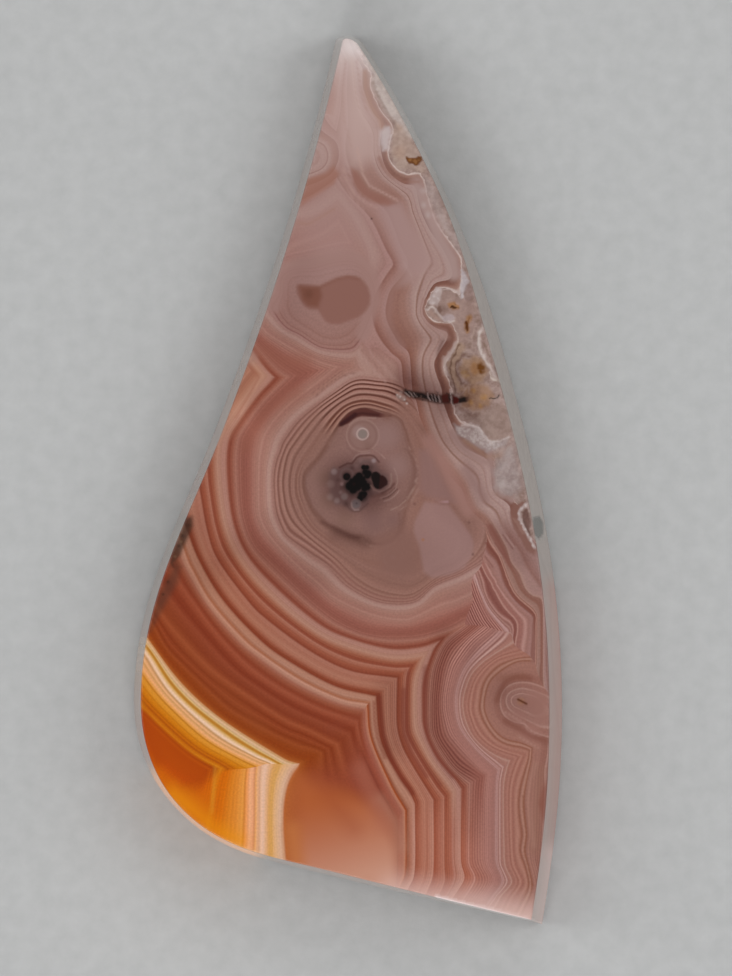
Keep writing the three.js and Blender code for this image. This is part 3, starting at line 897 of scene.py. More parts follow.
    dots((122, 96, 86), 1.8, 0.5, *speckles(34, 0.2, 0.8, (456, 427), (478, 429), (486, 443), (480, 447),
        (462, 438))),
    dots((164, 150, 147), 2.4, 0.4, *speckles(60, 0.6, 2, (496, 470), (508, 446), (518, 470), (520, 492),
        (500, 494))),
    dots((136, 116, 112), 2, 0.35, *speckles(26, 0.3, 1, (496, 470), (508, 448), (518, 470), (518, 490),
        (500, 492))),
    stroke((140, 108, 98), 2, 4, 0.6, (494, 493), (500, 497), (508, 498), (514, 495)),

    # The small eye cut by the right edge
    patch((124, 86, 76), 2.6, 0.9, (513, 504), (520, 502), (527, 502.6), (521, 506), (517.4, 511),
        (517.4, 519), (521, 528), (535, 548), (535, 556), (527, 551), (513.6, 530), (510.8, 520),
        (510.6, 511)),
    stroke((150, 116, 106), 1.6, 3, 0.5, (514.6, 518), (523, 533)),
    stroke((168, 150, 147), 3.2, 2.2, 0.85, (528, 505), (522, 507), (518.8, 512), (519.4, 519), (534, 546)),
    dots((196, 184, 180), 2, 0.7, (520.6, 508.6, 0.9), (519, 514, 0.8), (521, 523, 0.8), (524.6, 530, 1),
        (527.6, 535, 1.2), (531, 541, 1.2), (526, 506, 0.9), (533, 545, 1)),
    patch((107, 78, 71), 1.8, 0.95, (521.4, 513), (524, 509.4), (528.4, 508.6), (531.6, 532), (531.2, 538),
        (524, 524.6)),
    stroke((80, 62, 58), 1.4, 2.4, 0.6, (523.6, 519), (530, 533)),

    # The slit in the middle of the right eye
    dots((160, 112, 84), 6, 0.7, (521, 701.5, 3)),
    stroke((90, 46, 24), 2, 1.6, 0.95, (518, 699.4), (526.4, 703.8)),
    patch((146, 104, 94), 6, 0.85, (531, 700), (546, 696), (548, 724), (538, 721), (530, 714)),
    stroke((112, 60, 46), 4, 9, 0.6, (530, 678), (516, 677), (506, 681), (497, 700)),
    stroke((116, 66, 54), 5, 8, 0.6, (506, 721), (531, 736), (546, 741)),
    stroke((172, 134, 124), 1.2, 2.4, 0.6, (505, 712), (523, 723), (530, 731), (540, 735)),
    stroke((168, 128, 116), 1.2, 2.5, 0.6, (518, 736), (538, 748)),

    # The double line and the dark lens by the lower right edge
    stroke((128, 78, 60), 1.4, 2.4, 0.65, (523, 796), (526.6, 836), (524.6, 852), (533, 888)),
    patch((128, 76, 63), 5, 0.7, (550, 774), (542, 790), (538.6, 804), (546, 830), (550, 800)),
    stroke((164, 124, 110), 3, 5, 0.35, (536, 764), (529.6, 782), (528, 800), (534, 846)),

    # Stripes in the warm corner on the left
    stroke((150, 90, 72), 1.6, 3, 0.5, (247, 362), (259, 378), (235, 418)),
    stroke((186, 140, 118), 1.2, 2.6, 0.5, (250, 358), (263, 377), (251, 394), (240, 414)),

    # Skin left on the rim
    patch((66, 44, 33), 5, 0.85, (186, 518), (192.5, 516), (193, 526), (180, 556), (168, 570), (172, 552)),
    patch((84, 50, 37), 9, 0.7, (176, 560), (181, 566), (178, 582), (150, 632), (156, 600)),
    dots((46, 28, 20), 3, 0.7, (187, 525, 1.8), (183, 536, 1.6), (179, 546, 1.4), (173, 566, 1.4),
        (168, 582, 1.6), (163, 594, 1.2)),
    dots((150, 120, 92), 1.6, 0.7, (174.5, 556, 0.6), (181, 541, 0.6)),
    stroke((112, 88, 72), 2, 3, 0.6, (445, 190), (449, 200)),
]

# The edge of the crystal husk, round by the right
HUSK_EDGE = [
    (363, 62), (371, 73), (370.5, 86), (375, 99), (381, 111), (390, 121.5), (393.5, 130), (388, 152),
    (391.5, 163), (398, 170), (409, 174), (421, 173), (435, 220), (461, 258), (462, 270), (461, 292),
    (458, 295.5), (453, 290.5), (445, 287.5), (438, 288), (432, 293), (425, 309), (426.5, 315),
    (434, 321.5), (452, 322.6), (456, 331), (458.5, 341), (444.4, 365), (445.6, 374), (450.8, 385),
    (455, 413), (460, 421), (470, 425), (478, 426), (484, 436), (490, 442), (496, 480), (500, 492),
    (512, 500), (521, 508), (518, 515), (520, 523), (524, 532), (529, 538), (540, 546), (600, 546),
    (600, 40), (363, 40),
]

# Where the stone is darker or lighter as a whole
SHADES = [
    along(-0.62, 12, 40, (410, 382), (428, 392), (448, 402)),
    along(-0.32, 10, 34, (466, 375), (472, 420)),
    along(-0.16, 6, 24, (448, 346), (452, 372)),
    along(-0.28, 8, 30, (434, 425), (448, 440)),
    along(-0.14, 6, 24, (464, 450), (480, 500)),
    along(-0.5, 26, 26, (350, 484), (366, 486)),
    along(-0.32, 6, 16, (336, 534), (364, 542)),
    along(-0.16, 14, 40, (500, 690), (520, 706)),
    along(-0.18, 12, 20, (446, 640), (434, 680), (436, 730), (460, 770)),
    along(-0.12, 6, 20, (472, 648), (462, 690)),
    along(-0.18, 14, 26, (390, 690), (394, 745)),
    along(-0.18, 16, 44, (190, 530), (200, 575), (240, 545), (310, 580)),
    along(0.14, 10, 26, (236, 410), (262, 440), (268, 500)),
    along(0.06, 10, 24, (380, 622), (440, 610)),
    along(-0.16, 8, 20, (500, 530), (520, 560)),
    along(-0.1, 14, 40, (302, 262), (288, 335)),
    along(-0.12, 8, 30, (392, 338), (436, 336)),
    along(0.07, 16, 30, (420, 512), (470, 560)),
    along(0.18, 12, 30, (470, 852), (474, 880)),
]

# Where the stone's edge gives off a painted glow, which stands in for light shining through it
GLOW_PLACES = [along(1, 10, 20, (160, 782), (172, 798), (200, 826), (250, 852))]

# Where the nucleus shows its sharp lines: round the top, and less on the left
ARC_PLACES = [
    along(1, 20, 22, (338, 412), (350, 395), (368, 390), (384, 393)),
    along(0.4, 16, 24, (320, 400), (282, 450), (285, 520), (320, 562)),
]

# Where the finest lines show: across the bands, in the fan, and round the right eye
FINE_LINE_PLACES = [
    along(0.06, 40, 40, (240, 480), (250, 560), (330, 640)),
    along(0.06, 30, 20, (230, 780), (235, 840)),
    along(0.12, 14, 16, (255, 345), (300, 360), (330, 368)),
    along(0.12, 16, 16, (240, 375), (225, 420)),
]
FAN_LINE_PLACES = [
    along(0.5, 9, 8, (472, 590), (472, 606), (480, 624), (494, 630)),
]
EYE_LINE_PLACES = [
    along(0.5, 10, 16, (484, 634), (452, 658)),
    along(0.26, 8, 16, (500, 640), (480, 660)),
    along(0.3, 13, 14, (468, 640), (446, 662), (437, 700), (441, 740), (462, 775)),
    along(0.13, 12, 16, (500, 645), (471, 675), (468, 720), (495, 755)),
    along(0.16, 20, 20, (398, 690), (400, 735), (425, 785)),
    along(0.14, 18, 16, (480, 795), (480, 880)),
    along(0.12, 24, 10, (520, 780), (520, 870)),
    along(0.08, 20, 10, (440, 815), (440, 870)),
]
FINE_LINE_LEAST = 0.03

# Places with hardly any fine lines, as x, y and radius
QUIET_PLACES = [(362, 480, 58), (330, 810, 45), (350, 790, 40)]
QUIET_SOFTNESS = 30.0
QUIET_SHARE = 0.8

# The bright line along which the fan lies: its lines are counted from there, and end on its right
FAN_EDGE = [(472, 560), (475.5, 570), (478, 580), (481, 590), (485, 600), (490, 610), (496, 620),
            (502.5, 628), (509, 636)]
FAN_LINE_END = -0.5
FAN_LINE_SOFTNESS = 2.0

# Soft limits across the grid: an axis, which side of a place counts, the place and its softness
ACROSS, DOWN = 0, 1
BEFORE, AFTER = 1, -1
LOWER_SEAM_LIMITS = [(DOWN, AFTER, 528.0, 40.0)]
CALM_LIMITS = [(DOWN, AFTER, 808.0, 56.0)]
WARM_LIMITS = [(ACROSS, BEFORE, 290.0, 110.0), (DOWN, BEFORE, 700.0, 160.0), (DOWN, AFTER, 520.0, 120.0)]
MIDDLE_LIMITS = [(ACROSS, BEFORE, 450.0, 60.0), (DOWN, AFTER, 340.0, 120.0)]
LEAST_WARMTH = 0.12
MIDDLE_WARMTH = 0.38

# Where the mesh is finer, to hold the small details
FINE_ZONES = [
    [(334, 404), (376, 404), (408, 412), (411, 445), (404, 512), (330, 514), (325, 466)],
    box(393, 387, 505, 408),
    box(421, 284, 476, 336),
    box(462, 356, 503, 384),
    box(509, 499, 550, 551),
    [(453, 421), (512, 433), (522, 498), (494, 498), (490, 460), (456, 440)],
    box(444, 340, 462, 396),
    [(476, 324), (500, 324), (503, 356), (476, 356)],
    [(478, 522), (518, 530), (518, 572), (478, 572)],
    box(402, 153, 425, 168),
    box(515, 695, 530, 708),
    box(369, 216, 374, 221),
]


def box_round(shape):
    """The lowest and highest corner of a box that holds all of one shape."""
    reach = shape["soft"] + shape.get("width", 0.0)
    if "patch" in shape or "line" in shape:
        corners = shape.get("patch") or shape["line"]
    else:
        circles = shape["spots"] if "spots" in shape else [shape["ring"]]
        corners = [(x + side * radius, y + side * radius) for x, y, radius in circles for side in (-1, 1)]
    return np.min(corners, axis=0) - reach, np.max(corners, axis=0) + reach


def distance_to_shape(points, shape):
    if "patch" in shape:
        return distance_to_path(points, shape["patch"])
    if "line" in shape:
        return distance_to_path(points, shape["line"], closed=False) - shape["width"] / 2
    if "ring" in shape:
        x, y, radius = shape["ring"]
        return np.abs(np.linalg.norm(points - (x, y), axis=1) - radius) - shape["width"] / 2
    distances = [np.linalg.norm(points - (x, y), axis=1) - radius for x, y, radius in shape["spots"]]
    return np.min(distances, axis=0)


def colour_of_shape(points, shape):
    """One colour, or a slope of two colours between two places."""
    colour = np.array(linear_colour(shape["colour"])[:3])
    if "to" not in shape:
        return colour
    start, end = np.array(shape["fade"], float)
    share = np.clip((points - start) @ (end - start) / ((end - start) @ (end - start)), 0.0, 1.0)[:, None]
    share = share ** FADE_CURVE
    return colour * (1 - share) + np.array(linear_colour(shape["to"])[:3]) * share


def canvas_of(shapes, points):
    """Colour and cover at each point, after all shapes are laid on in their order."""
    canvas = np.zeros((len(points), 4))
    for shape in shapes:
        low, high = box_round(shape)
        near = np.flatnonzero(((points > low) & (points < high)).all(1))
        if len(near) == 0:
            continue
        spots = points[near]
        cover = falloff(distance_to_shape(spots, shape), shape["soft"])[:, None] * shape["strength"]
        canvas[near, :3] = canvas[near, :3] * (1 - cover) + colour_of_shape(spots, shape) * cover
        canvas[near, 3:] = canvas[near, 3:] * (1 - cover) + cover
    return canvas


def wavering(points, husk):
    """Points pushed about a little in and near the husk, so that what is drawn there looks grown."""
    shift = np.zeros_like(points)
    for wavelength, reach in WAVERS:
        for axis in (0, 1, 0, 1):
            place = points @ direction(waver_draws.uniform(0.0, 360.0))
            phase = waver_draws.uniform(0.0, 2.0 * math.pi)
            shift[:, axis] += reach * np.sin(place * 2.0 * math.pi / wavelength + phase)
    return points + shift * falloff(husk - WAVER_REACH, WAVER_SOFTNESS)[:, None]


def fan_offset(points):
    """Distance from the bright line, in grid steps, negative on its left."""
    edge = np.array(FAN_EDGE, float)
    beside = points[:, 0] - np.interp(points[:, 1], edge[:, 1], edge[:, 0])
    slope = np.interp(points[:, 1], edge[:, 1], np.gradient(edge[:, 0], edge[:, 1]))
    return beside / np.sqrt(1.0 + slope * slope)


def strengths(points, places):
    """How strongly each place acts at each point."""
    found = []
    for place in places:
        distance = distance_to_path(points, place["path"], closed=False) - place["radius"]
        found.append(falloff(distance, place["soft"]) * place["strength"])
    return np.array(found)


def line_strength(points, places, least=0.0):
    """Strength of the finest lines, which quiet places take away."""
    strength = np.maximum(least, strengths(points, places).max(0))
    for x, y, radius in QUIET_PLACES:
        quiet = falloff(np.linalg.norm(points - (x, y), axis=1) - radius, QUIET_SOFTNESS)
        strength = strength * (1.0 - QUIET_SHARE * quiet)
    return strength


def inside_limits(points, limits):
    """1 inside soft limits and 0 outside: each has an axis, a side, a place and a softness."""
    share = np.ones(len(points))
    for axis, side, place, soft in limits:
        share *= falloff(side * (points[:, axis] - place), soft)
    return share


def add_values(mesh, name, values):
    """Write a number, or a colour and its cover, for every vertex."""
    kind, field = ("FLOAT_COLOR", "color") if values.ndim == 2 else ("FLOAT", "value")
    attribute = mesh.attributes.new(name, kind, "POINT")
    attribute.data.foreach_set(field, np.ascontiguousarray(values, dtype=np.float32).ravel())


def add_pattern(mesh, vertices):
    """Write the layer ages, the strengths and the laid-on colours of every vertex into the mesh."""
    depth = THICKNESS - vertices[:, 2]
    points = on_grid(vertices[:, :2] + depth[:, None] * BAND_TILT)
    upright = on_grid(vertices[:, :2])
    husk = distance_to_path(points, HUSK_EDGE)
    wavering_husk = distance_to_path(wavering(points, husk), HUSK_EDGE)
    fan = fan_offset(points)
    fan_share = falloff(fan - FAN_LINE_END, FAN_LINE_SOFTNESS)
    middle_warmth = LEAST_WARMTH + MIDDLE_WARMTH * inside_limits(points, MIDDLE_LIMITS)
    for name, ages in system_ages(points, wavering_husk).items():
        add_values(mesh, name + "_age", ages)
    values = dict(
        depth=depth,
        fan_offset=fan,
        line_strength=line_strength(points, FINE_LINE_PLACES, FINE_LINE_LEAST),
        fan_line_strength=line_strength(points, FAN_LINE_PLACES) * fan_share,
        eye_line_strength=line_strength(points, EYE_LINE_PLACES),
        lower_share=inside_limits(points, LOWER_SEAM_LIMITS),
        calm_share=inside_limits(points, CALM_LIMITS),
        warmth=np.maximum(inside_limits(points, WARM_LIMITS), middle_warmth),
        shade=strengths(points, SHADES).sum(0),
        arc_share=strengths(points, ARC_PLACES).max(0),
        glow=strengths(upright, GLOW_PLACES).max(0),
        tints=canvas_of(TINTS, points),
        details=canvas_of(DETAILS, wavering(points, husk)),
        rim_light_and_tints=canvas_of(RIM_LIGHT_AND_TINTS, upright),
    )
    for name, found in values.items():
        add_values(mesh, name, found)


# The colour of each layer, by its age: sRGB, as the eye reads it

MAIN_LAYERS = {
    604.5: (148, 110, 103), 606: (158, 124, 116), 608.2: (162, 129, 121), 610: (155, 118, 110),
    613: (152, 112, 102), 617.7: (148, 105, 96), 619.6: (159, 117, 107), 621: (151, 109, 99),
    625.5: (150, 102, 92), 628.5: (143, 91, 80), 631: (138, 84, 74), 635: (136, 83, 72),
    636.6: (145, 92, 81), 638: (139, 88, 77), 640.8: (153, 104, 92), 642.2: (150, 99, 85),
    645: (138, 79, 64), 646.9: (126, 65, 50), 648.4: (134, 75, 60), 650.6: (162, 117, 105),
    653: (165, 121, 110), 655: (161, 117, 103), 657.6: (169, 126, 110), 660: (161, 111, 93),
    662.6: (148, 89, 68), 665: (134, 69, 50), 666.7: (132, 68, 50), 668.2: (160, 105, 88),
    670: (155, 97, 79), 671.8: (145, 83, 63), 673.5: (142, 76, 56), 676.7: (125, 61, 43),
    678: (158, 104, 88), 680: (162, 109, 93), 682.5: (156, 101, 84), 687: (164, 112, 94),
    690.5: (158, 102, 83), 692.5: (146, 84, 64), 694.5: (131, 65, 43), 696.6: (124, 56, 36),
    697.6: (144, 90, 70), 698.6: (167, 119, 101), 701.8: (170, 125, 107), 703.2: (158, 107, 87),
    704.5: (154, 96, 70), 705.9: (182, 135, 117), 707.5: (170, 124, 107), 709.6: (152, 95, 78),
    711.4: (143, 80, 58), 713.4: (133, 64, 42), 714.4: (129, 58, 36), 716.3: (147, 77, 54),
    718: (141, 69, 46), 719.8: (129, 57, 34), 722: (123, 51, 28), 725.8: (138, 67, 43), 730: (131, 60, 35),
    733.5: (127, 55, 30), 736: (131, 59, 32), 740.5: (149, 76, 46), 743.5: (139, 65, 35),
    746.8: (125, 51, 21), 750.3: (140, 65, 33), 754: (127, 53, 19), 758: (144, 69, 31),
    762.5: (138, 62, 20), 768: (136, 58, 15), 773: (142, 65, 18), 776.5: (152, 76, 26),
    779.3: (158, 86, 36), 780.2: (178, 116, 68), 781.2: (196, 148, 104), 782.4: (190, 150, 106),
    783.8: (210, 175, 140), 785: (211, 174, 142), 786.2: (194, 158, 118), 787.4: (208, 178, 126),
    788.1: (198, 156, 92), 788.9: (182, 126, 52), 790.1: (174, 116, 36), 790.9: (192, 144, 64),
    791.7: (208, 168, 110), 792.4: (212, 174, 132), 793: (226, 192, 162), 793.8: (228, 196, 172),
    794.3: (220, 184, 156), 795: (192, 148, 104), 795.5: (190, 142, 96), 796.2: (216, 162, 116),
    797: (224, 174, 126), 797.9: (198, 144, 88), 798.8: (210, 156, 104), 799.8: (224, 164, 114),
    801.2: (222, 160, 100), 802.4: (218, 152, 74), 804.2: (182, 114, 26), 805.4: (206, 138, 42),
    807.4: (210, 140, 44), 810: (203, 130, 28), 811: (186, 110, 16), 812: (200, 122, 16),
    816: (194, 112, 6), 818.4: (172, 88, 0), 820.4: (191, 103, 4), 822.8: (164, 78, 0),
    825.4: (188, 102, 4), 828.6: (200, 122, 16), 830.4: (180, 94, 4), 833.4: (152, 58, 0),
    836.2: (178, 80, 4), 838.8: (160, 62, 0), 842: (162, 60, 0), 850: (170, 66, 0), 862: (180, 72, 0),
    872: (192, 90, 0), 905: (200, 104, 0),
}

CALM_LAYERS = {
    604.5: (151, 103, 91), 605.4: (145, 96, 84), 606.2: (170, 131, 119), 607: (150, 104, 94),
    608.2: (152, 106, 96), 609: (171, 133, 125), 610.2: (156, 112, 104), 613: (163, 122, 116),
    616: (150, 104, 96), 625: (157, 108, 99), 632: (150, 99, 88), 640: (146, 90, 76),
    640.6: (163, 113, 101), 641.8: (154, 98, 84), 645: (150, 88, 70), 649: (144, 80, 61),
    649.7: (172, 124, 110), 655.5: (163, 112, 98), 656.5: (150, 94, 78), 658: (166, 114, 100),
    660: (158, 96, 78), 667: (146, 80, 60), 667.7: (168, 112, 95), 672.5: (160, 97, 79),
    677.2: (146, 77, 56), 677.9: (176, 124, 108), 683: (168, 112, 95), 685: (160, 100, 82),
    687: (170, 114, 96), 693: (160, 97, 78), 697.3: (144, 78, 58), 698: (184, 137, 123),
    701: (168, 114, 97), 702.6: (156, 97, 77), 704.1: (138, 84, 64), 705.2: (142, 68, 36),
    705.8: (150, 74, 40), 706.6: (176, 118, 94), 707.4: (168, 112, 93), 709: (152, 92, 76),
    712: (146, 78, 62), 715: (138, 66, 48), 717.6: (112, 42, 28), 719.4: (136, 66, 50), 722: (145, 77, 59),
    726: (140, 68, 50), 735: (138, 63, 43), 745: (141, 67, 44), 755: (140, 64, 42), 765: (148, 72, 44),
    778.4: (172, 95, 46), 779.6: (194, 148, 118), 781.7: (208, 170, 146), 784.3: (210, 170, 136),
    786.9: (214, 168, 122), 789.5: (206, 156, 88), 792.3: (206, 154, 92), 794.7: (214, 166, 126),
    797.3: (221, 182, 160), 799.4: (222, 180, 152), 800.6: (202, 152, 120), 801.8: (222, 170, 130),
    803.1: (220, 158, 100), 804.2: (206, 140, 98), 805.6: (226, 162, 122), 807: (228, 166, 124),
    808.8: (228, 150, 88), 810: (202, 128, 54), 811.2: (220, 148, 68), 814.4: (212, 132, 48),
    818.1: (207, 122, 30), 821.9: (204, 106, 4), 825.6: (199, 99, 0), 829.4: (204, 116, 8),
    832: (199, 98, 0), 840: (196, 90, 0), 862: (204, 112, 2), 880: (214, 134, 6),
}

RIGHT_INNER_LAYERS = {
    560: (140, 98, 86), 567: (146, 106, 97), 569.6: (146, 106, 97), 570.4: (166, 129, 119),
    572: (145, 104, 95), 576: (146, 106, 97), 577.4: (163, 126, 116), 579: (142, 99, 89),
    582.6: (143, 100, 90), 584: (162, 123, 113), 585.2: (138, 94, 83), 588: (139, 94, 83),
    591: (146, 102, 91), 596: (148, 103, 91), 596.7: (132, 83, 66), 597.5: (163, 120, 106),
    598.2: (136, 86, 70), 599: (154, 107, 94), 600.6: (151, 100, 87), 601.3: (160, 113, 100),
    602.2: (146, 95, 82), 603.2: (157, 109, 97), 604.5: (150, 101, 89),
}

NUCLEUS_LAYERS = {
    560: (132, 100, 96), 575: (126, 93, 87), 576.4: (104, 70, 62), 577.4: (98, 62, 54),
    578.4: (158, 120, 108), 579.8: (134, 94, 84), 580.4: (92, 52, 44), 581.3: (92, 52, 44),
    582: (160, 122, 110), 582.8: (140, 98, 86), 583.6: (96, 56, 47), 584.8: (100, 60, 50),
    586: (156, 118, 108), 588.8: (144, 104, 95), 589.6: (92, 54, 46), 590.6: (98, 60, 51),
    592: (162, 125, 116), 594: (146, 106, 97), 594.8: (86, 46, 38), 595.6: (90, 50, 42),
    596.6: (168, 130, 120), 598.2: (148, 108, 99), 598.8: (84, 44, 36), 599.4: (90, 50, 42),
    600.3: (170, 132, 123), 601.5: (148, 108, 99), 602: (88, 48, 40), 602.5: (98, 58, 49),
    603.3: (158, 121, 113), 604.5: (154, 116, 109),
}

LONE_PATCH_LAYERS = {
    585: (140, 102, 94), 590: (146, 110, 103), 594: (146, 109, 102), 595: (139, 101, 93),
    596: (148, 111, 104), 598.6: (145, 107, 100), 599.4: (136, 97, 89), 600.2: (149, 111, 104),
    601.6: (146, 107, 100), 602.4: (128, 86, 80), 603.2: (150, 112, 106), 604.5: (156, 120, 114),
}

QUIET_NUCLEUS_LAYERS = {
    560: (134, 102, 98), 574: (128, 96, 90), 577: (120, 86, 78), 579: (134, 99, 91), 584: (131, 95, 86),
    586: (136, 100, 92), 590: (131, 95, 86), 593: (140, 102, 93), 594.4: (144, 107, 98),
    595.6: (128, 90, 80), 597.4: (144, 106, 97), 598.6: (130, 90, 81), 600.2: (147, 108, 100),
    601.4: (130, 89, 80), 602.6: (148, 110, 102), 603.8: (134, 94, 86), 604.9: (160, 126, 120),
}

UPPER_SEAM_LAYERS = {
    559: (150, 124, 116), 559.7: (190, 172, 167), 560.5: (186, 166, 160), 561.3: (152, 120, 110),
    563: (140, 103, 92), 565: (124, 86, 75), 570.2: (114, 74, 64), 571.1: (166, 139, 133),
    575: (160, 131, 126), 576: (150, 118, 110), 577: (162, 134, 128), 580.5: (158, 128, 122),
    581.5: (132, 96, 85), 582.6: (166, 138, 132), 585: (154, 122, 115), 587.5: (146, 108, 98),
    591: (137, 96, 85), 594.1: (128, 85, 74), 594.8: (158, 124, 119), 597.5: (152, 114, 107),
    600.5: (143, 102, 93), 602.6: (131, 88, 78), 603.2: (160, 124, 118), 604.5: (154, 116, 110),
}

LOWER_SEAM_LAYERS = {
    555: (132, 100, 92), 559: (140, 108, 100), 560.2: (158, 128, 122), 562: (140, 103, 95),
    564.5: (122, 82, 73), 566: (136, 98, 91), 571: (146, 114, 109), 577: (139, 103, 97), 580: (134, 96, 88),
    581.5: (148, 114, 108), 583.6: (152, 118, 112), 584.6: (158, 124, 114), 585.6: (133, 92, 82),
    588.7: (129, 87, 75), 590: (142, 105, 95), 593: (146, 110, 100), 593.9: (158, 120, 110),
    594.5: (130, 88, 76), 595.5: (166, 124, 112), 596.4: (120, 70, 60), 597.8: (124, 78, 68),
    598.6: (150, 110, 104), 600.2: (146, 104, 96), 601.3: (170, 128, 120), 602.2: (146, 100, 92),
    603.8: (142, 94, 86), 604.9: (168, 126, 116), 605.4: (132, 83, 75), 606.5: (122, 73, 66),
    606.9: (136, 88, 80), 607.3: (166, 124, 116), 607.8: (130, 84, 76), 608.3: (162, 122, 114),
    608.7: (136, 90, 82), 609.4: (175, 137, 133), 610.6: (164, 125, 119), 612: (148, 100, 92),
    640: (140, 90, 82), 660: (140, 84, 74),
}

# Layer ages between which the look of the bands changes over
HUSK_AGES = (558.4, 559.3)
MOTTLED_AGES = (560.0, 562.0)
INNER_CALM_AGES = (632.0, 626.0)
OUTER_CALM_AGES = (703.0, 704.0)
BRICK_START = (708.0, 716.0)
BRICK_END = (779.0, 776.0)
ORANGE_START = (815.0, 850.0)

# How slowly the calm side takes over, in layer ages: in most bands, and more in brick and orange ones
SHARP_MITRE = 0.4
BRICK_MITRE = 44.0
ORANGE_MITRE = 34.0

# The finest lines: their periods, in layer ages or in grid steps across the fan, and their heights
FINE_LINE_PERIOD = 2.1
FINE_LINE_HEIGHT = 0.3
FAN_LINE_PERIOD = 2.15
FAN_LINE_HEIGHT = 0.75
GREATEST_HEIGHT = 0.95
UNEVENNESS = 0.3
WANDER_FREQUENCY = 0.13
UNEVEN_FREQUENCY = 0.42

# How much each channel takes part where the stone is made lighter or darker
EVEN_TINT = (1.0, 1.0, 1.0)
LINE_TINT = (0.85, 1.15, 1.15)
SHADE_TINT = (1.0, 1.15, 1.15)
WARM_TINT = (0.0, -0.1, -0.2)

# Noise in the stone: cells to the metre, and how much it lightens and darkens
GRAIN_SCALE = 7000.0
GRAIN_AMOUNT = 0.07
CRYSTAL_SCALE = 1900.0
CRYSTAL_COLOURS = [(0.32, (134, 108, 98)), (0.72, (158, 136, 130))]
MOTTLE_AMOUNT = 0.11

# Depths below the face, in millimetres, over which the rim's colours, mostly painted light, and its painted
# glow set in
RIM_DEPTHS = (0.02, 0.3)
GLOW_DEPTHS = (0.05, 1.0)
GLOW_COLOUR = (1.0, 0.34, 0.04, 1.0)
GLOW_STRENGTH = 0.2

# The polish and the floor: a bump has a strength and a height in metres
AGATE_IOR = 1.54
AGATE_SPECULAR = 0.22
AGATE_ROUGHNESS = (0.06, 0.1)
AGATE_BUMP = (0.02, 0.02 * MM)
POLISH_SCALE = 500.0
FLOOR_DARK = (170, 171, 171)
FLOOR_LIGHT = (190, 191, 191)
FLOOR_ROUGHNESS = (0.75, 0.95)
FLOOR_BUMP = (0.25, 0.2 * MM)
FLOOR_GRAIN_SCALE = 900.0
FLOOR_HALF = 0.6

# Lights over the stone: name, place and size in metres, and power in watts
LIGHTS = [
    ("key_front", (-0.06, -0.5, 0.42), (0.5, 0.22), 1.78),
    ("fill_left", (-0.55, 0.05, 0.5), (0.3, 0.6), 1.56),
    ("fill_right", (0.55, 0.1, 0.5), (0.3, 0.6), 1.56),
    ("fill_back", (0.05, 0.6, 0.5), (0.6, 0.3), 1.36),
]
WORLD_STRENGTH = 0.31

# The camera: its height and its clip range in metres, its sensor in millimetres, and the picture in
# grid steps
CAMERA_HEIGHT = 0.8
CAMERA_CLIP = (0.05, 5.0)
SENSOR_SIZE = 36.0
PICTURE_SIZE = (732, 976)


# Materials

def new_material(name):
    material = bpy.data.materials.new(name)
    material.use_nodes = True
    tree = material.node_tree
    tree.nodes.clear()
    return material, tree


def add_node(tree, kind, inputs, **settings):
    """A node with these settings, its inputs linked to sockets or set to values."""
    node = tree.nodes.new(kind)
    for key, value in settings.items():
        setattr(node, key, value)
    for key, source in inputs.items():
        if isinstance(source, bpy.types.NodeSocket):
            tree.links.new(source, node.inputs[key])
        else:
            node.inputs[key].default_value = source
    return node


def number(tree, operation, *values, clamp=False):
    inputs = dict(enumerate(values))
    return add_node(tree, "ShaderNodeMath", inputs, operation=operation, use_clamp=clamp).outputs[0]


def vector(tree, operation, inputs):
    return add_node(tree, "ShaderNodeVectorMath", inputs, operation=operation).outputs[0]


def mix_colour(tree, share, first, second, blend="MIX"):
    inputs = {"Factor": share, 6: first, 7: second}
    return add_node(tree, "ShaderNodeMix", inputs, data_type="RGBA", blend_type=blend).outputs[2]


def smooth_share(tree, value, low, high, start=0.0, end=1.0):
    """A smooth step from start to end, while the value goes from low to high."""
    inputs = {"Value": value, "From Min": low, "From Max": high, "To Min": start, "To Max": end}
    node = add_node(tree, "ShaderNodeMapRange", inputs, interpolation_type="SMOOTHSTEP", clamp=True)
    return node.outputs["Result"]


def noise(tree, place, scale, detail, roughness=0.5, dimensions="3D"):
    inputs = {"Vector": place, "Scale": scale, "Detail": detail, "Roughness": roughness}
    return add_node(tree, "ShaderNodeTexNoise", inputs, noise_dimensions=dimensions).outputs["Fac"]


def varied(tree, noise_value, low, high, reach=0.2):
    """A value from low to high that follows noise, which mostly lies this near to a half."""
    return smooth_share(tree, noise_value, 0.5 - reach, 0.5 + reach, low, high)


def object_place(tree):
    return add_node(tree, "ShaderNodeTexCoord", {}).outputs["Object"]


def mesh_values(tree, name):
    return add_node(tree, "ShaderNodeAttribute", {}, attribute_name=name, attribute_type="GEOMETRY").outputs


def mesh_number(tree, name):
    return mesh_values(tree, name)["Fac"]


def lay_over(tree, below, name):
    """A canvas of the mesh, premultiplied colour and cover, laid over another colour."""
    canvas = mesh_values(tree, name)
    kept = mix_colour(tree, canvas["Alpha"], below, (0.0, 0.0, 0.0, 1.0))
    return mix_colour(tree, 1.0, kept, canvas["Color"], blend="ADD")


def colour_ramp(tree, position, stops):
    """Colours by position, from 0 to 1."""
    ramp = add_node(tree, "ShaderNodeValToRGB", {"Fac": position})
    elements = ramp.color_ramp.elements
    while len(elements) < len(stops):
        elements.new(0.5)
    for element, (stop, colour) in zip(elements, stops):
        element.position = stop
        element.color = linear_colour(colour)
    return ramp.outputs["Color"]


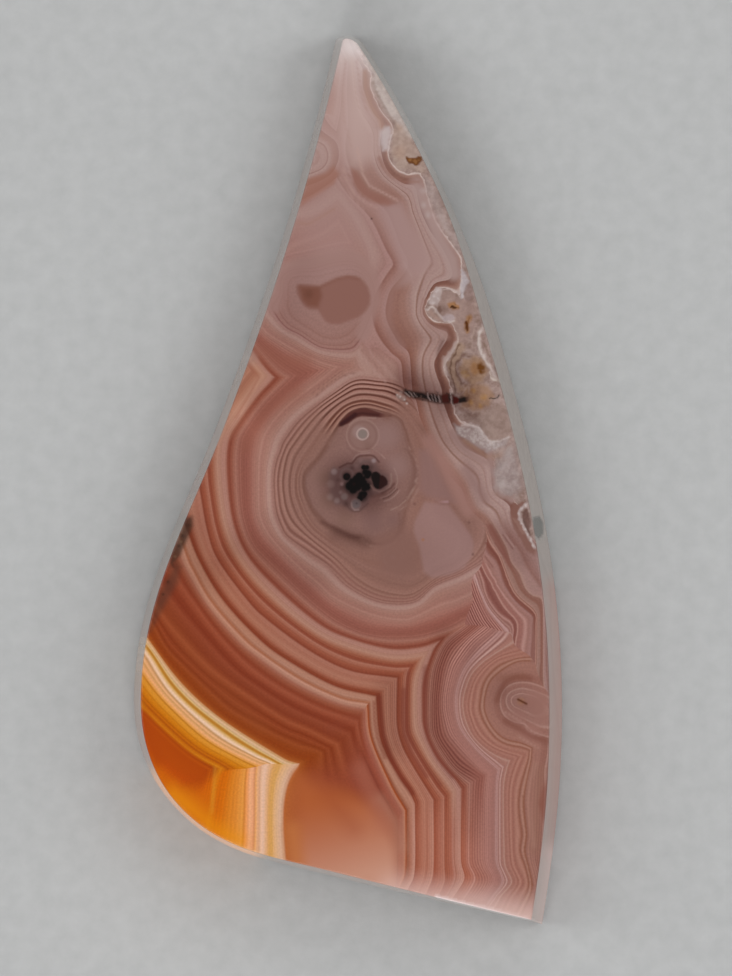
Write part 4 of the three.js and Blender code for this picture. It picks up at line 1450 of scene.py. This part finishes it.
def layer_colour(tree, age, layers, most=30):
    """Colour by age, from as many ramps as the layers need."""
    layers = list(layers.items())
    colour = None
    for start in range(0, len(layers) - 1, most - 1):
        part = layers[start:start + most]
        low, high = part[0][0], part[-1][0]
        position = number(tree, "DIVIDE", number(tree, "SUBTRACT", age, low), high - low, clamp=True)
        part_colour = colour_ramp(tree, position, [((a - low) / (high - low), c) for a, c in part])
        if colour is None:
            colour = part_colour
        else:
            colour = mix_colour(tree, number(tree, "GREATER_THAN", age, low), colour, part_colour)
    return colour


def lowest(tree, first, *others):
    for other in others:
        first = number(tree, "MINIMUM", first, other)
    return first


def system_side(tree, ages, name):
    """1 where this system's layer is younger than those of all others."""
    others = [age for other, age in ages.items() if other != name]
    return number(tree, "LESS_THAN", ages[name], lowest(tree, *others))


def age_noise(tree, grown, frequency):
    place = add_node(tree, "ShaderNodeCombineXYZ", {0: number(tree, "MULTIPLY", grown, frequency)})
    return noise(tree, place.outputs[0], 1.0, 1.0, dimensions="2D")


def fine_line_wave(tree, grown, period, lowest_height):
    """The finest lines, from -1 to 1: an even wave whose height wanders, and a finer unevenness."""
    wave = number(tree, "SINE", number(tree, "MULTIPLY", grown, 2.0 * math.pi / period))
    height = varied(tree, age_noise(tree, grown, WANDER_FREQUENCY), lowest_height, GREATEST_HEIGHT)
    uneven = varied(tree, age_noise(tree, grown, UNEVEN_FREQUENCY), -UNEVENNESS, UNEVENNESS)
    return number(tree, "MULTIPLY_ADD", wave, height, uneven)


def mitre_share(tree, age, margin):
    """How far the calm side has taken over: at once in most bands, slowly in the brick and orange ones."""
    before_orange = smooth_share(tree, age, *BRICK_END)
    brick = number(tree, "MULTIPLY", smooth_share(tree, age, *BRICK_START), before_orange)
    width = number(tree, "MULTIPLY_ADD", brick, BRICK_MITRE, SHARP_MITRE)
    width = number(tree, "ADD", width, smooth_share(tree, age, *ORANGE_START, 0.0, ORANGE_MITRE))
    return smooth_share(tree, number(tree, "DIVIDE", margin, width), 0.0, 1.0)


def scaled_colour(tree, colour, amount, tint):
    """A colour made lighter or darker by an amount, along a tint."""
    change = vector(tree, "SCALE", {0: tint, "Scale": amount})
    raised = vector(tree, "ADD", {0: (1.0, 1.0, 1.0), 1: change})
    return vector(tree, "MULTIPLY", {0: colour, 1: raised})


def band_colour(tree, ages, age, margin, right_side):
    """The colour of the bands, in each of their systems."""
    calm_share = mesh_number(tree, "calm_share")
    for ages_of_change in (INNER_CALM_AGES, OUTER_CALM_AGES):
        calm_share = number(tree, "MAXIMUM", calm_share, smooth_share(tree, age, *ages_of_change))
    calm_share = number(tree, "MULTIPLY", calm_share, mitre_share(tree, age, margin))
    outer = mix_colour(tree, calm_share, layer_colour(tree, age, MAIN_LAYERS),
                       layer_colour(tree, age, CALM_LAYERS))
    nucleus = mix_colour(tree, mesh_number(tree, "arc_share"), layer_colour(tree, age, QUIET_NUCLEUS_LAYERS),
                         layer_colour(tree, age, NUCLEUS_LAYERS))
    lower_share = mesh_number(tree, "lower_share")
    lower_seam = layer_colour(tree, age, LOWER_SEAM_LAYERS)
    inner = mix_colour(tree, lower_share, layer_colour(tree, age, UPPER_SEAM_LAYERS), lower_seam)
    lone_patch = layer_colour(tree, age, LONE_PATCH_LAYERS)
    inner = mix_colour(tree, system_side(tree, ages, "central"), inner, nucleus)
    inner = mix_colour(tree, system_side(tree, ages, "patch"), inner, lone_patch)
    inner = mix_colour(tree, right_side, inner, layer_colour(tree, age, RIGHT_INNER_LAYERS))
    bands = mix_colour(tree, number(tree, "LESS_THAN", age, NUCLEUS_AGE), outer, inner)
    below_fan = number(tree, "MULTIPLY", system_side(tree, ages, "seam"), lower_share)
    return mix_colour(tree, below_fan, bands, lower_seam)


def fine_lines(tree, ages, age, right_side):
    """How much the finest lines lighten or darken the bands."""
    eye_strength = number(tree, "MULTIPLY", mesh_number(tree, "eye_line_strength"), right_side)
    strength = number(tree, "ADD", mesh_number(tree, "line_strength"), eye_strength)
    wave = fine_line_wave(tree, age, FINE_LINE_PERIOD, FINE_LINE_HEIGHT)
    seam_side = system_side(tree, ages, "seam")
    fan_strength = number(tree, "MULTIPLY", mesh_number(tree, "fan_line_strength"), seam_side)
    fan_wave = fine_line_wave(tree, mesh_number(tree, "fan_offset"), FAN_LINE_PERIOD, FAN_LINE_HEIGHT)
    return number(tree, "MULTIPLY_ADD", fan_wave, fan_strength, number(tree, "MULTIPLY", wave, strength))


def agate_colour(tree, place, depth):
    """The whole pattern: bands, fine lines and grain, the husk, what is laid on with a painted highlight,
    and the rim with its painted light.
    """
    ages = {name: mesh_number(tree, name + "_age") for name in SYSTEMS}
    calm_side = lowest(tree, ages["eye"], ages["wall"])
    full_side = lowest(tree, ages["central"], ages["seam"], ages["patch"], ages["top"])
    age = lowest(tree, calm_side, full_side)
    margin = number(tree, "SUBTRACT", full_side, calm_side)
    right_side = number(tree, "LESS_THAN", calm_side, full_side)

    colour = band_colour(tree, ages, age, margin, right_side)
    colour = scaled_colour(tree, colour, fine_lines(tree, ages, age, right_side), LINE_TINT)
    grain = varied(tree, noise(tree, place, GRAIN_SCALE, 2.0), -GRAIN_AMOUNT, GRAIN_AMOUNT, reach=0.25)
    colour = scaled_colour(tree, colour, grain, EVEN_TINT)
    colour = scaled_colour(tree, colour, mesh_number(tree, "warmth"), WARM_TINT)

    crystals = noise(tree, place, CRYSTAL_SCALE, 4.0, 0.65)
    husk = smooth_share(tree, age, *HUSK_AGES, 1.0, 0.0)
    colour = mix_colour(tree, husk, colour, colour_ramp(tree, crystals, CRYSTAL_COLOURS))
    mottling = varied(tree, crystals, -MOTTLE_AMOUNT, MOTTLE_AMOUNT)
    mottling = number(tree, "MULTIPLY", mottling, smooth_share(tree, age, *MOTTLED_AGES, 1.0, 0.0))

    colour = lay_over(tree, lay_over(tree, colour, "tints"), "details")
    shade = number(tree, "ADD", mesh_number(tree, "shade"), mottling)
    colour = scaled_colour(tree, colour, shade, SHADE_TINT)
    # Below the face the rim takes its colours, mostly painted light: reflection, glow and highlight
    side = smooth_share(tree, depth, *RIM_DEPTHS)
    return mix_colour(tree, side, colour, lay_over(tree, colour, "rim_light_and_tints"))


def finish_material(tree, surface_inputs, height, strength, distance):
    """Give a material its surface, its bump and its output."""
    bump = add_node(tree, "ShaderNodeBump", {"Strength": strength, "Distance": distance, "Height": height})
    inputs = {**surface_inputs, "Normal": bump.outputs["Normal"]}
    surface = add_node(tree, "ShaderNodeBsdfPrincipled", inputs)
    add_node(tree, "ShaderNodeOutputMaterial", {"Surface": surface.outputs[0]})


def agate_material():
    material, tree = new_material("polished_agate")
    place = object_place(tree)
    depth = mesh_number(tree, "depth")
    glow = number(tree, "MULTIPLY", mesh_number(tree, "glow"), smooth_share(tree, depth, *GLOW_DEPTHS))
    polish = noise(tree, place, POLISH_SCALE, 3.0)
    surface_inputs = {
        "Base Color": agate_colour(tree, place, depth),
        "IOR": AGATE_IOR,
        "Specular IOR Level": AGATE_SPECULAR,
        # A painted glow: the stone gives off light of its own where light shines through its edge
        "Emission Color": GLOW_COLOUR,
        "Emission Strength": number(tree, "MULTIPLY", glow, GLOW_STRENGTH),
        "Roughness": varied(tree, polish, *AGATE_ROUGHNESS),
    }
    finish_material(tree, surface_inputs, polish, *AGATE_BUMP)
    return material


def floor_material():
    material, tree = new_material("pale_floor")
    grain = noise(tree, object_place(tree), FLOOR_GRAIN_SCALE, 6.0)
    surface_inputs = {
        "Base Color": mix_colour(tree, grain, linear_colour(FLOOR_DARK), linear_colour(FLOOR_LIGHT)),
        "Roughness": varied(tree, grain, *FLOOR_ROUGHNESS, reach=0.3),
    }
    finish_material(tree, surface_inputs, grain, *FLOOR_BUMP)
    return material


def build_floor():
    mesh = bpy.data.meshes.new("floor")
    corners = box(-FLOOR_HALF, -FLOOR_HALF, FLOOR_HALF, FLOOR_HALF)
    mesh.from_pydata([(x, y, 0.0) for x, y in corners], [], [(0, 1, 2, 3)])
    floor = bpy.data.objects.new("floor", mesh)
    mesh.materials.append(floor_material())
    bpy.context.scene.collection.objects.link(floor)
    return floor


# Light and camera

def add_area_light(name, place, size, power):
    """A soft light that points at the stone."""
    data = bpy.data.lights.new(name, "AREA")
    data.shape = "RECTANGLE"
    data.size, data.size_y = size
    data.energy = power
    light = bpy.data.objects.new(name, data)
    light.location = place
    light.rotation_mode = "QUATERNION"
    light.rotation_quaternion = (-Vector(place)).to_track_quat("-Z", "Y")
    bpy.context.scene.collection.objects.link(light)


def add_lights(scene):
    for name, place, size, power in LIGHTS:
        add_area_light(name, place, size, power)
    world = bpy.data.worlds.new("studio")
    world.use_nodes = True
    background = world.node_tree.nodes["Background"]
    background.inputs["Color"].default_value = (1.0, 1.0, 1.0, 1.0)
    background.inputs["Strength"].default_value = WORLD_STRENGTH
    scene.world = world


def add_camera(scene):
    """A camera straight above the middle of the picture, which holds the picture's height."""
    data = bpy.data.cameras.new("camera")
    data.sensor_width = SENSOR_SIZE
    data.sensor_fit = "AUTO"
    seen = PICTURE_SIZE[1] * GRID_STEP * MM
    data.lens = SENSOR_SIZE * (CAMERA_HEIGHT - THICKNESS * MM) / seen
    data.clip_start, data.clip_end = CAMERA_CLIP
    camera = bpy.data.objects.new("camera", data)
    x, y = on_stone(np.array(PICTURE_SIZE) / 2) * MM
    camera.location = (x, y, CAMERA_HEIGHT)
    camera.rotation_euler = (0.0, 0.0, 0.0)
    scene.collection.objects.link(camera)
    scene.camera = camera


scene = bpy.context.scene
stone, vertices = build_stone()
add_pattern(stone.data, vertices)
stone.data.materials.append(agate_material())
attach(stone, "root")
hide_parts("agate")
floor = build_floor()
add_lights(scene)
add_camera(scene)
scene.view_settings.view_transform = "Standard"

print("vertices", len(stone.data.vertices), "faces", len(stone.data.polygons))
